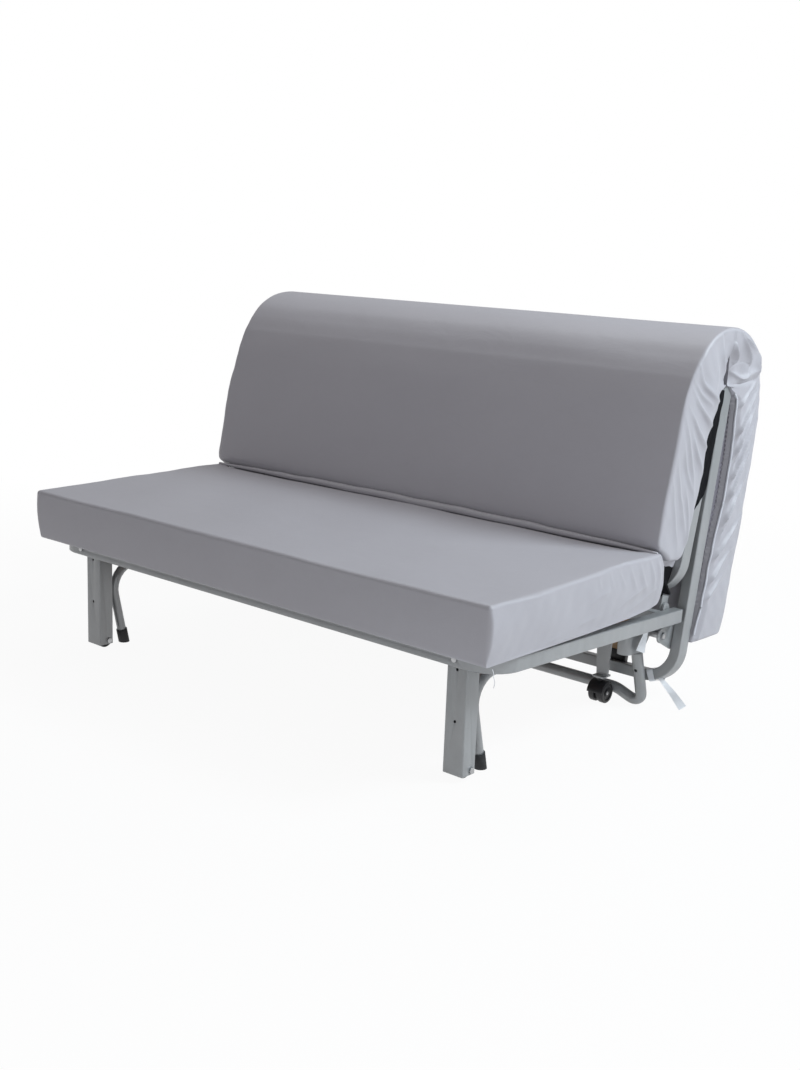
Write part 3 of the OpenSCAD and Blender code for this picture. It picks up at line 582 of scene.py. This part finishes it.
FRONT_LINE = [(0.134, 0.150), (0.160, 0.1565), (0.220, 0.160), (0.300, 0.161), (0.380, 0.160), (0.440, 0.157),
              (0.490, 0.149), (0.512, 0.1425)]  # up the front section, and out from its frame
TOP_LINE = [(0.7075, 0.8065), (0.739, 0.8365), (0.787, 0.860), (0.843, 0.8690), (0.892, 0.8630), (0.939, 0.8430),
            (0.975, 0.8120), (0.9925, 0.7700)]  # back and up in the side view
REAR_LINE = [(0.571, 0.1385), (0.530, 0.1455), (0.480, 0.1515), (0.430, 0.1550), (0.360, 0.1560), (0.300, 0.1560),
             (0.200, 0.1540), (0.130, 0.1510), (0.050, 0.1480), (0.000, 0.1430)]  # down the rear section
BACK = spline([front(*p) for p in FRONT_LINE] + [side(*p) for p in TOP_LINE] + [rear(*p) for p in REAR_LINE], 700)
up_front, out_front = (BACK - SEAT_HINGE) @ UP_FRONT, (BACK - SEAT_HINGE) @ OUT_FRONT
up_rear, out_rear = (BACK - REAR_FOOT) @ UP_REAR, (BACK - REAR_FOOT) @ OUT_REAR
i_front = int(np.argmax(up_front >= TOP_B))
i_rear = len(BACK) - int(np.argmax(up_rear[::-1] >= TOP_C))
i_crown = int(np.argmax(BACK[:, 0] >= TOP_HINGE[0]))


def front_face(s):
    """How far out the front cushion's face is, s up its section."""
    return np.interp(s, up_front[:i_front + 1], out_front[:i_front + 1])


def rear_face(s):
    """How far out the rear cushion's face is, s up its section."""
    return np.interp(s, up_rear[i_rear - 1:][::-1], out_rear[i_rear - 1:][::-1])


EDGE = 0.010  # radius of the cushions' sewn edges
INNER = 0.0193  # the pads' inner faces, clear of the frames' tubes
THICK = 0.140  # a cushion's block, before its face is moved to the outline
PAD_GAP = 0.001  # left between a cushion and the rounded top
LIP = 0.018  # how far in from the sides the hems are drawn up


def across_rows(count, *extra):
    """Places across a cushion: even in the middle, close together towards its sides, with any extra ones."""
    near = [HALF - e for e in (0.048, 0.044, 0.040, 0.036, 0.032, 0.028, 0.024, 0.020, 0.017, 0.014)] + list(extra)
    return np.unique(np.round(np.concatenate([spaced(-HALF, HALF, EDGE, count), near, np.negative(near)]), 6))


def near_side(x, inset, over):
    """0 across the middle, rising to 1 within over from where x is inset from the sides."""
    return smooth((np.abs(x) - HALF + inset) / over)


def swell(block, along, scales, heights, seeds):
    """The unevenness of a stuffed face over its width and the places along it."""
    wide = np.column_stack([block.at[:, 0], along])
    return sum(ripples(wide, scale, seed) * height for scale, height, seed in zip(scales, heights, seeds))


FRONT_LOW = 0.13  # height of the front cushion's lower edge up its section
FRONT_HEM = ([0.12, 0.17, 0.217, 0.274, 0.32, 0.345, 0.375, 0.41, 0.455, 0.476, 0.495, 0.512],
             [.042, .031, .027, .022, .022, .025, .031, .025, .012, .021, .008, -.018])
FRONT_FOOT = ([0.0, 0.04, 0.057, 0.097, 0.140, 0.160], [0.128, 0.123, 0.113, 0.108, 0.128, 0.134])
TUCKED = 0.1065  # below this the cushion is in the crease, where its black underside shows


def front_cover():
    """The front back cushion: boxed, lower edge rolled into the crease, hem along the tube."""
    length, top = TOP_B - FRONT_LOW, TOP_B - PAD_GAP
    b = Block([across_rows(46), spaced(0, length, EDGE, 130, round_high=False), spaced(0, THICK, EDGE, 42)], EDGE,
              flat=[(1, 1)])
    x, up, c = b.at[:, 0], b.at[:, 1] / length, b.at[:, 2] / THICK
    outer, lip = near_side(x, 0.046, 0.022), near_side(x, LIP, 0.012)
    s = FRONT_LOW + b.at[:, 1]
    for _ in range(3):
        inside = blended(INNER, np.interp(s, *FRONT_HEM), lip)
        n = inside + c * (front_face(s) - inside)
        low = blended(0.863 * n + 0.003, np.interp(n, *FRONT_FOOT), outer)  # along the crease; rolled at the sides
        s = low + up * (top - low)
    p = SEAT_HINGE + column(s) * UP_FRONT + column(n) * OUT_FRONT
    x = sided(b, x, p, back_side_x)
    face = np.clip(b.out[:, 2], 0, 1) * smooth((TOP_B - s) / 0.07)
    p += column(face * swell(b, s * 1.3, (0.55, 0.15), (0.0016, 0.0004), (5, 6))) * OUT_FRONT
    piece = give(b.made("front_back_cover", x, p), "front_panel", COVER)
    second_finish(piece, UNDERLAY_AND_SHADE, (s < TUCKED)[b.faces].all(1))
    return piece


REAR_HEM = ([0.00, 0.03, 0.07, 0.14, 0.205, 0.263, 0.309, 0.356, 0.425, 0.493, 0.520, 0.548, 0.571],
            [.024, .030, .036, .040, .042, .050, .057, .058, .056, .047, .043, .037, .000])
STRIP = 0.030  # rows of the block that make the gathered strip inside the rear hem
HEM_X, STRIP_X, TUBE_X = 0.6895, 0.6745, 0.664  # half widths of the hem, of the strip, and clear of the tubes


def rear_cover():
    """The rear back cushion: its side hem stands off the tube, with a gathered strip inside it."""
    through = np.concatenate([np.linspace(0, STRIP, 11), spaced(STRIP, THICK, EDGE, 40, round_low=False)[1:]])
    b = Block([across_rows(46), spaced(0, TOP_C, EDGE, 250, round_high=False), through], EDGE,
              flat=[(1, 1), (2, 0)])
    x, s, v = b.at[:, 0], b.at[:, 1], b.at[:, 2]
    for _ in range(3):
        hem = np.interp(s, *REAR_HEM)
        deep = blended(INNER, np.minimum(INNER, hem - 0.008), near_side(x, LIP, 0.012))
        body = hem + (v - STRIP) / (THICK - STRIP) * (rear_face(s) - hem)
        n = np.where(v < STRIP, deep + v / STRIP * (hem - deep), body)
        low = np.interp(n, [0.02, 0.14], [-0.012, 0.006])
        s = low + b.at[:, 1] / TOP_C * (TOP_C - PAD_GAP - low)
    p = REAR_FOOT + column(s) * UP_REAR + column(n) * OUT_REAR
    x = sided(b, x, p, back_side_x)
    away = smooth((TOP_C - 0.010 - s) / 0.02)  # the hem ends below the gather
    inset = 1 - smooth((v - STRIP * 0.90) / (STRIP * 0.12))
    pleats = (np.abs(np.sin(math.pi * (s * 90 - n * 60 + 0.35 * ripples(p, 0.06, 31)))) - 0.5) * 0.0030
    straight = blended(np.abs(x), HEM_X, away * (1 - smooth((v - STRIP) / 0.016)))  # folds start above the hem
    sides = blended(straight, blended(straight - 0.010, STRIP_X + pleats, away), inset)
    x = np.sign(x) * np.where(np.abs(b.out[:, 0]) > 0.01, sides, np.abs(x))
    squeeze = np.minimum(1, np.clip(TUBE_X / np.maximum(np.abs(x), 1e-6), 0, 1))
    x = x * np.where(v < STRIP * 0.35, blended(1, squeeze, away), 1)
    face = np.clip(b.out[:, 2], 0, 1) * smooth((TOP_C - s) / 0.07)
    p += column(face * swell(b, s * 1.2, (0.50, 0.13), (0.0025, 0.0006), (15, 16))) * OUT_REAR
    piece = give(b.made("rear_back_cover", x, p), "rear_panel", COVER)
    # The strip's faces take the darker material, partly painted shade of the recess inside the hem.
    strip = (np.abs(b.raw[:, 0]) > HALF - 0.001) & (b.raw[:, 2] < STRIP * 0.95)
    second_finish(piece, STRIP_TONE_AND_SHADE, strip[b.faces].all(1))
    return piece


POLE = TOP_HINGE - [0, 0.001]  # the rounded top turns about here
LUGS_X, BOLTS_X = 0.634, 0.6603  # half widths at which the hinge lugs begin and the bolts end
HUB, HUB_AT_LUGS, HUB_MOST, HUB_OUTSIDE = 0.0168, 0.0154, 0.0893, 0.0030


def top_cover(name, body, out_way, line, node):
    """Half of the rounded top, from a cushion's face to the crown, gathered at its sides."""
    run = lengths_along(line)
    b = Block([across_rows(46, LUGS_X - 0.001, LUGS_X + 0.0005, 0.6600, 0.6606), np.linspace(0, run[-1], 112),
               spaced(0, THICK, EDGE, 60, round_low=False)], EDGE, flat=[(1, 0), (1, 1), (2, 0)])
    outer = np.stack([np.interp(b.at[:, 1], run, line[:, k]) for k in (0, 1)], 1)
    way = unit(outer - POLE)
    clear = np.minimum(HUB_AT_LUGS / np.maximum(way @ out_way, 0.05), HUB_MOST)  # room for the lugs and bolts
    off = np.abs(b.at[:, 0])
    hub = np.where(off < LUGS_X, HUB, np.where(off < BOLTS_X, clear, HUB_OUTSIDE))
    inner = POLE + column(hub) * way
    p = inner + column(b.at[:, 2] / THICK) * (outer - inner)
    x = sided(b, b.at[:, 0], p, back_side_x)
    face = np.clip(b.out[:, 2], 0, 1) * smooth(b.at[:, 1] / 0.05) * smooth((run[-1] - b.at[:, 1]) / 0.05)
    p += column(face * swell(b, p * 1.2, (0.45,), (0.0010,), (8,))) * way
    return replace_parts(give(b.made(name, x, p), body, COVER), node)


def at_top(foot, up, out, face):
    """Where the outline meets the upper end of a cushion of the back."""
    high = float((POLE - foot) @ up)
    return foot + up * high + out * face(high)


front_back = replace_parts(front_cover(), "front_pad")
rear_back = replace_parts(rear_cover(), "rear_pad")
crown = BACK[i_crown]
front_line = np.vstack([at_top(SEAT_HINGE, UP_FRONT, OUT_FRONT, front_face), BACK[i_front + 1:i_crown], crown])
rear_line = np.vstack([crown + [0.0004, 0], BACK[i_crown + 1:i_rear - 1],
                       at_top(REAR_FOOT, UP_REAR, OUT_REAR, rear_face)])
front_top = top_cover("front_top_cover", "front_panel", OUT_FRONT, front_line, "front_roll")
rear_top = top_cover("rear_top_cover", "rear_panel", OUT_REAR, rear_line, "rear_roll")


# ---------------------------------------------------------------- the seat

SEAT_FOLDS = [
    ([(0.435, 0.386), (0.444, 0.366), (0.454, 0.35)], 0.005, 0.0034),
    ([(0.474, 0.388), (0.486, 0.36), (0.502, 0.335)], 0.006, 0.0043),
    ([(0.513, 0.39), (0.526, 0.352), (0.543, 0.328)], 0.006, 0.0047),
    ([(0.552, 0.393), (0.565, 0.355), (0.574, 0.325)], 0.006, 0.005),
    ([(0.582, 0.393), (0.59, 0.355), (0.592, 0.32)], 0.006, 0.0054),
    ([(0.329, 0.339), (0.365, 0.35), (0.402, 0.352)], 0.007, 0.0034),
    ([(0.293, 0.297), (0.33, 0.303), (0.364, 0.305)], 0.007, 0.0034),
    ([(0.193, 0.283), (0.215, 0.288), (0.239, 0.292)], 0.006, 0.0028),
    ([(0.399, 0.388), (0.405, 0.368), (0.412, 0.352)], 0.005, 0.0028),
    ([(0.354, 0.388), (0.36, 0.37), (0.367, 0.358)], 0.005, 0.0023),
    ([(0.42, 0.3), (0.47, 0.32), (0.56, 0.345)], 0.01, 0.0043),
    ([(0.48, 0.29), (0.53, 0.305), (0.6, 0.33)], 0.008, 0.004),
]
SEAT_LENGTH, SEAT_LOW, SEAT_THICK = 0.60, 0.2735, 0.1192
SEAT_UNDER = 0.2737  # the cushion's underside, on the frame
SEAT_HEM = ([0, 0.04, 0.18, 0.34, 0.49, 0.54, 0.58, 0.60], [.2737, .2737, .2725, .2720, .2735, .2765, .2790, .284])
SEAT_BACK = ([0.27, 0.30, 0.33, 0.37, 0.40], [0.606, 0.616, 0.617, 0.614, 0.602])  # its rear edge at the sides
CREASE_SLOPE = math.tan(math.radians(49.7))  # the rear edge in the middle lies along the crease


def seat_side_x(p, hand):
    """Half width of the seat cushion: bellied, drawn in at the hem, with its folds. The left side is fuller."""
    high = np.clip((p[:, 1] - SEAT_LOW) / SEAT_THICK, 0, 1)
    drawn = (0.020 if hand < 0 else 0.007) * (1 - high) ** 2.4
    fuller = 0.006 if hand < 0 else 0
    soft = ripples(p, 0.20, 41 + hand) * 0.0016 + ripples(p, 0.05, 43 + hand) * 0.0004
    return HALF + fuller + 0.004 * np.sin(math.pi * high) - drawn + folds(p, SEAT_FOLDS) + soft


def seat_cover():
    """The seat cushion: crisp boxed edges, a drawn-in hem, and its rear edge turned down into the crease."""
    edge_r = 0.008
    b = Block([across_rows(56), spaced(0, SEAT_LENGTH, edge_r, 130), spaced(0, SEAT_THICK, edge_r, 30)], edge_r)
    x, y, c = b.at[:, 0], b.at[:, 1], b.at[:, 2] / SEAT_THICK
    outer, lip = near_side(x, 0.052, 0.028), near_side(x, 0.020, 0.016)
    for _ in range(3):
        low = blended(SEAT_UNDER, np.interp(y, *SEAT_HEM), lip)
        high = 0.3925 + 0.007 * smooth(y / 0.56)  # the top rises a little towards the back
        z = low + c * (high - low)
        ray_y = 0.7095 - (z - SEAT_HINGE[1]) / CREASE_SLOPE
        y = b.at[:, 1] / SEAT_LENGTH * blended(ray_y, np.interp(z, *SEAT_BACK), outer)
    p = np.stack([FRONT_Y + y, z], 1)
    x = sided(b, x, p, seat_side_x)
    up, ahead_way = np.clip(b.out[:, 2], 0, 1), np.clip(-b.out[:, 1], 0, 1)
    p[:, 1] += up * swell(b, y * 1.3, (0.45, 0.12), (0.0016, 0.0003), (51, 52))
    across = ripples(np.column_stack([b.at[:, 0] + z, z]), 0.4, 53) * 0.0010
    belly = 0.0022 * np.sin(math.pi * np.clip(c, 0, 1)) + across
    p[:, 0] += ahead_way * (0.005 * np.clip(1 - c, 0, 1) ** 3 - belly)
    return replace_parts(give(b.made("seat_cover", x, p), "seat", COVER), "seat_pad")


seat_cushion = seat_cover()

CREASE = math.radians(128.3)  # the way from the seat hinge up into the folded crease
FAN_DEG = (-40.3, 40.8)  # how far the crease opens towards the seat and the back in the bed


def crease_web(name, finish, hand, across, counts, inner, reach, width):
    """A web in the crease between seat and back, folded into a narrow groove."""
    b = Block([across, *(np.linspace(0, 1, count) for count in counts)], 0.0, flat=ALL_FLAT)
    share = b.raw[:, 1]
    outer = blended(*reach, smooth(share)) / np.cos(np.radians(blended(*FAN_DEG, share)))
    even = 0.5 - np.sin(np.arcsin(np.clip(1 - 2 * share, -1, 1)) / 3)  # smooth(even) is share
    angle = CREASE + np.arcsin(np.clip((0.5 - even) * width / outer, -1, 1))
    radius = inner + b.raw[:, 2] * (outer - inner)
    p = SEAT_HINGE + column(radius) * np.stack([np.cos(angle), np.sin(angle)], 1)
    piece = give(b.made(name, hand * b.raw[:, 0], p), None, finish)
    if hand < 0:
        piece.data.flip_normals()
    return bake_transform(piece)


crease = crease_web("crease_cover", COVER, 1, np.linspace(-HALF + 0.053, HALF - 0.053, 40), (41, 9), 0.032,
                    (0.1446, 0.150), 0.0133)
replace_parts(crease, "valley_fold")
# The gussets are black as painted shade: the openings beside the crease are dark with shade.
for hand, word in SIDES:  # black gussets that close the notches beside it
    shade_gusset = crease_web("crease_shade_gusset_" + word, UNDERLAY_AND_SHADE, hand, np.linspace(0.6485, 0.6870, 8), (25, 7), 0.060,
                        (0.128, 0.122), 0.0120)
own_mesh(front_top)
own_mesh(rear_top)


# ---------------------------------------------------------------- trim, ties and loose ribbon

def tube_along(name, path, radii, sides, flatten=(1.0, 1.0)):
    """A closed tube of changing radius along a line of points, with rounded ends."""
    path, radii = np.array(path, float), np.array(radii, float)
    run = unit(np.gradient(path, axis=0))
    side_way = unit(np.cross(run, [0, 0.3, 1.0]))
    up_way = np.cross(side_way, run)
    turn = np.linspace(0, 2 * math.pi, sides, endpoint=False)[None, :, None]
    round_way = np.cos(turn) * side_way[:, None] * flatten[0] + np.sin(turn) * up_way[:, None] * flatten[1]
    ring = path[:, None] + radii[:, None, None] * round_way
    tips = [path[:1] - run[:1] * radii[0] * 0.6, path[-1:] + run[-1:] * radii[-1] * 0.6]
    points = np.vstack([ring.reshape(-1, 3), *tips])
    faces, last = [], len(path) - 1
    for i in range(last):
        for k in range(sides):
            m = (k + 1) % sides
            faces.append((i * sides + k, i * sides + m, (i + 1) * sides + m, (i + 1) * sides + k))
    start, end = len(points) - 2, len(points) - 1
    faces += [(start, (k + 1) % sides, k) for k in range(sides)]
    faces += [(end, last * sides + k, last * sides + (k + 1) % sides) for k in range(sides)]
    piece = sewn(name, points, faces)
    bpy.ops.object.mode_set(mode="EDIT")
    bpy.ops.mesh.select_all(action="SELECT")
    bpy.ops.mesh.normals_make_consistent(inside=False)
    bpy.ops.object.mode_set(mode="OBJECT")
    smooth_shaded(70)
    return piece


def crease_roll():
    """The slack of the cover that rolls up along the crease."""
    half = 0.694
    x = np.linspace(-half, half, 150)
    share = np.clip(1 - np.abs(x / half) ** 2.6, 0, 1)
    size = 0.0034 + 0.0070 * share * (0.86 + 0.14 * np.cos(x * 3.1 - 0.4)) + 0.0005 * ripples(column(x), 0.16, 61)
    up_crease = math.radians(128.0)
    y, z = SEAT_HINGE + 0.1895 * np.array([math.cos(up_crease), math.sin(up_crease)])
    height = 0.0015 + 0.62 * size + 0.0006 * ripples(column(x), 0.3, 62)
    path = np.column_stack([x, y - 0.004 + 0 * x, z + height])
    piece = give(tube_along("crease_roll", path, size, 14, (1.25, 0.95)), "front_panel", COVER)
    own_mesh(piece)
    return piece


def hem_piping_painted_highlight():
    """The thin bead along the rear cushion's side hems, its lighter colour a painted highlight."""
    for hand, word in SIDES:
        s = np.linspace(0.006, 0.556, 120)
        n = np.interp(s, *REAR_HEM) - 0.0012
        p = REAR_FOOT + column(s) * UP_REAR + column(n) * OUT_REAR
        x = hand * (HEM_X + 0.001 + 0.0007 * ripples(column(s), 0.09, 71))
        piece = tube_along("rear_hem_piping_" + word, np.column_stack([x, p]), np.full(len(s), 0.0028), 8)
        give(piece, "rear_panel", PIPING_PAINTED_HIGHLIGHT)


WRAP_FORE = ([0.20, 0.27, 0.35, 0.41, 0.48, 0.50], [.034, .028, .030, .031, .024, .012])
TUBE_OUTSIDE = 0.6853  # half width just outside the front frame's tubes


def black_tube_wraps():
    """Thin black sheets over the outside of the front tubes near the top hinge, which show black there."""
    low, high = 0.205, TOP_B - 0.012
    for hand, word in SIDES:
        b = Block([spaced(0, 0.0034, 0.0012, 2, corner=3), spaced(0, 1, 0.004, 90, corner=3),
                   spaced(0, 1, 0.03, 14, corner=3)], 0.0)
        s = low + b.raw[:, 1] * (high - low)
        fore = np.interp(s, *WRAP_FORE)
        rear_edge = blended(fore - 0.004, -0.0180, smooth((s - low) / 0.075))
        n = rear_edge + b.raw[:, 2] * (fore - rear_edge)
        x = TUBE_OUTSIDE + b.raw[:, 0] + 0.0008 * ripples(np.stack([s, n * 2], 1), 0.05, 81)
        x = np.maximum(x, TUBE_OUTSIDE - 0.0001)
        p = SEAT_HINGE + column(s) * UP_FRONT + column(n) * OUT_FRONT
        piece = b.made("front_tube_black_wrap_" + word, hand * x, p)
        if hand < 0:
            piece.data.flip_normals()
        give(piece, "front_panel", UNDERLAY_AND_SHADE)


crease_roll()
hem_piping_painted_highlight()
black_tube_wraps()

RIBBON_THICK = 0.0007


def ribbon(name, path, ways, width, body, ends=(1.0, 1.0), closed=False):
    """A strip of woven ribbon along a line of points, its width along ways."""
    path = spline(path, 48) if not closed else np.array(path, float)
    ways = unit(spline(ways, 48) if not closed else np.array(ways, float))
    rows = np.linspace(-0.5, 0.5, 7)
    count = len(path)
    wide = width * np.interp(np.linspace(0, 1, count), [0, 1], ends)
    points = (path[:, None] + rows[None, :, None] * wide[:, None, None] * ways[:, None]).reshape(-1, 3)
    faces = []
    for i in range(count if closed else count - 1):
        j = (i + 1) % count
        faces += [(i * 7 + k, i * 7 + k + 1, j * 7 + k + 1, j * 7 + k) for k in range(6)]
    piece = sewn(name, points, faces)
    wall = piece.modifiers.new("wall", "SOLIDIFY")
    wall.thickness = RIBBON_THICK
    wall.offset = 0.0
    bpy.ops.object.modifier_apply(modifier=wall.name)
    smooth_shaded(50)
    give(piece, body, RIBBON)
    return piece


BEND_AT = (0.6025, -0.034)  # centre of the rear frame's lower bend, across and up
BEND_R, TIE_TURN = 0.070, math.radians(20)
LOOP_HALF_R, LOOP_HALF_N = 0.0147, 0.0204  # half sizes of the loop, in the bend's plane and out of it
TAIL = [(0.640, 0.739, 0.0790), (0.648, 0.744, 0.0680), (0.660, 0.749, 0.0540), (0.674, 0.754, 0.0380),
        (0.686, 0.759, 0.0220), (0.694, 0.764, 0.0100)]
TAIL_WAYS = [(0.2, 1.0, 0.35), (0.4, 0.9, 0.40), (0.55, 0.70, 0.45), (0.57, 0.60, 0.50), (0.75, 0.45, 0.45),
             (0.50, 0.75, 0.50)]


def rear_space(x, s, n):
    return np.array([x, *rear(s, n)])


def squared(t):
    """A sine or cosine with its crests cut flat, so that a circle becomes a rounded box."""
    return math.copysign(min(1, abs(t) * 1.30), t)


def tie_loop(hand, word):
    """A ribbon tie round a lower bend of the rear frame."""
    outward = np.array([math.sin(TIE_TURN), -math.cos(TIE_TURN)])
    along = np.array([math.cos(TIE_TURN), math.sin(TIE_TURN)])
    centre = np.array(BEND_AT) + BEND_R * outward
    path, ways = [], []
    for a in 2 * math.pi * np.arange(56) / 56:
        x, s = centre + outward * LOOP_HALF_R * squared(math.cos(a)) + along * 0.0035 * math.sin(a + 0.6)
        path.append(rear_space(hand * x, s, LOOP_HALF_N * squared(math.sin(a))))
        ways.append(rear_space(hand * along[0], along[1], 0.06 * math.sin(2 * a)) - rear_space(0, 0, 0))
    return ribbon("tie_loop_" + word, path, ways, 0.0155, "rear_panel",
                  closed=True)


def tie_end(hand, word):
    """The hanging tail of a tie, and the knot that it comes from."""
    path = [(hand * x, FRONT_Y + y, z) for x, y, z in TAIL]
    ways = [(hand * x, y, z) for x, y, z in TAIL_WAYS]
    ribbon("tie_tail_" + word, path, ways, 0.0170, "rear_panel", ends=(0.55, 1.15))
    knot = [(hand * (0.6365 + 0.004 * math.sin(k * 0.9)), FRONT_Y + 0.7385 + 0.003 * math.cos(k * 1.7),
             0.0815 - 0.0012 * k) for k in range(6)]
    radii = 0.0036 + 0.0012 * np.sin(np.linspace(0, math.pi, 20))
    knot = tube_along("tie_knot_" + word, spline(knot, 20), radii, 10)
    give(knot, "rear_panel", RIBBON)


loops = []
for hand, word in SIDES:
    loops.append(tie_loop(hand, word))
    tie_end(hand, word)
for loop in loops:
    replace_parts(loop, "mattress_ties")


def seat_tie():
    """The cover's rear tie: a ribbon that drops from the hem beside the rear end of the right seat tube."""
    path = [(0.6450, 0.655, 0.2120), (0.6420, 0.660, 0.1960), (0.6380, 0.6605, 0.1800), (0.6350, 0.6600, 0.1640),
            (0.6330, 0.6590, 0.1520)]
    ways = [(0.2, 1.0, 0.1), (0.15, 1.0, 0.0), (0.1, 1.0, -0.1), (0.1, 1.0, -0.25), (0.1, 1.0, -0.4)]
    ribbon("seat_tie_tail", [(x, FRONT_Y + y, z) for x, y, z in path], ways, 0.034, "seat",
           ends=(0.30, 1.0))


def hem_thread():
    """A loose end of hemming thread under the seat's front right corner."""
    x = 0.697
    path = [(x, 0.020, 0.2700), (x, 0.024, 0.2620), (x + 0.001, 0.023, 0.2550), (x + 0.001, 0.027, 0.2470),
            (x, 0.029, 0.2390), (x - 0.001, 0.028, 0.2320)]
    line = spline([(x, FRONT_Y + y, z) for x, y, z in path], 30)
    thread = give(tube_along("hem_thread", line, np.full(30, 0.0007), 6), "seat", RIBBON)


seat_tie()
hem_thread()


# ---------------------------------------------------------------- camera, floor and light

LENS_MM = 45.296
CAMERA_AT = (2.0894, FRONT_Y - 1.8826, 1.0412)
VIEW_TURN, VIEW_DROP, VIEW_ROLL = 0.7077, 0.2201, 0.0396

camera_data = bpy.data.cameras.new("camera")
camera = bpy.data.objects.new("camera", camera_data)
bpy.context.scene.collection.objects.link(camera)
bpy.context.scene.camera = camera
camera_data.sensor_width = 36.0
camera_data.lens = LENS_MM
ahead = Vector((-math.sin(VIEW_TURN) * math.cos(VIEW_DROP), math.cos(VIEW_TURN) * math.cos(VIEW_DROP),
                -math.sin(VIEW_DROP)))
level = Vector((math.cos(VIEW_TURN), math.sin(VIEW_TURN), 0))
above = level.cross(ahead)
right = level * math.cos(VIEW_ROLL) + above * math.sin(VIEW_ROLL)
top = above * math.cos(VIEW_ROLL) - level * math.sin(VIEW_ROLL)
rows = [(right[k], top[k], -ahead[k], CAMERA_AT[k]) for k in range(3)]
camera.matrix_world = Matrix((*rows, (0, 0, 0, 1)))

WHITE = (1.0, 1.0, 1.0)
NEAR_WHITE = 0.94  # how much of the floor's white shows by the object, where the rest takes its shadow
FADE_FROM, FADE_OVER = 1.1, 1.6  # metres from the origin over which that rises to all of it


def white_floor():
    """Plain white where it is seen directly or in gloss, and a matt surface that still takes shadows."""
    f = material("floor_white")
    path = "ShaderNodeLightPath"
    seen = f.node(path, out="Is Camera Ray") + f.node(path, out="Is Glossy Ray")
    seen = (seen + f.node(path, out="Is Transmission Ray")).clamped()
    matt = f.node("ShaderNodeBsdfDiffuse", {}, {"Color": (0.80, 0.80, 0.81)})
    glow = f.node("ShaderNodeEmission", {}, {"Color": WHITE, "Strength": 1.0})
    away = f.node("ShaderNodeVectorMath", {"operation": "LENGTH"}, {0: f.place()}, out=1)
    far = ((away - FADE_FROM) / FADE_OVER).clamped()
    share = seen * (far * (1 - NEAR_WHITE) + NEAR_WHITE)
    return f.shown(f.node("ShaderNodeMixShader", {}, {0: share, 1: matt, 2: glow}))


bpy.ops.mesh.primitive_plane_add(size=60.0, location=(0, 0, 0))
floor = bpy.context.active_object
floor.name = "floor"
floor.data.materials.append(white_floor())


def studio():
    """A plain level world that looks white to the camera."""
    f = Finish(bpy.data.worlds.new("studio"))
    path = "ShaderNodeLightPath"
    seen = (f.node(path, out="Is Camera Ray") + f.node(path, out="Is Transmission Ray")).clamped()
    lit = f.node("ShaderNodeBackground", {}, {"Color": (1.0, 0.985, 1.0), "Strength": 0.26})
    white = f.node("ShaderNodeBackground", {}, {"Color": WHITE, "Strength": 1.0})
    mixed = f.node("ShaderNodeMixShader", {}, {0: seen, 1: lit, 2: white})
    return f.shown(mixed, "ShaderNodeOutputWorld")


bpy.context.scene.world = studio()


def soft_light(name, place, aim, size, watts, colour=WHITE):
    """A square lamp at a place, turned to an aim."""
    data = bpy.data.lights.new(name, "AREA")
    data.shape = "SQUARE"
    data.size = size
    data.energy = watts
    data.color = colour
    lamp = bpy.data.objects.new(name, data)
    bpy.context.scene.collection.objects.link(lamp)
    lamp.location = place
    lamp.rotation_mode = "QUATERNION"
    lamp.rotation_quaternion = (Vector(aim) - Vector(place)).to_track_quat("-Z", "Y")


SEAT_CORNER = (0.3, 0.1, 0.4)
soft_light("fill_front_right", (3.2, -2.2, 1.0), SEAT_CORNER, 1.4, 17, (0.92, 0.97, 1.0))
soft_light("window_right", (2.85, 1.4, 2.9), SEAT_CORNER, 1.2, 117, (0.84, 0.94, 1.0))
soft_light("overhead", (-0.6, 0.6, 3.4), (-0.1, 0.1, 0.3), 2.4, 26)

bpy.context.scene.view_settings.view_transform = "Standard"
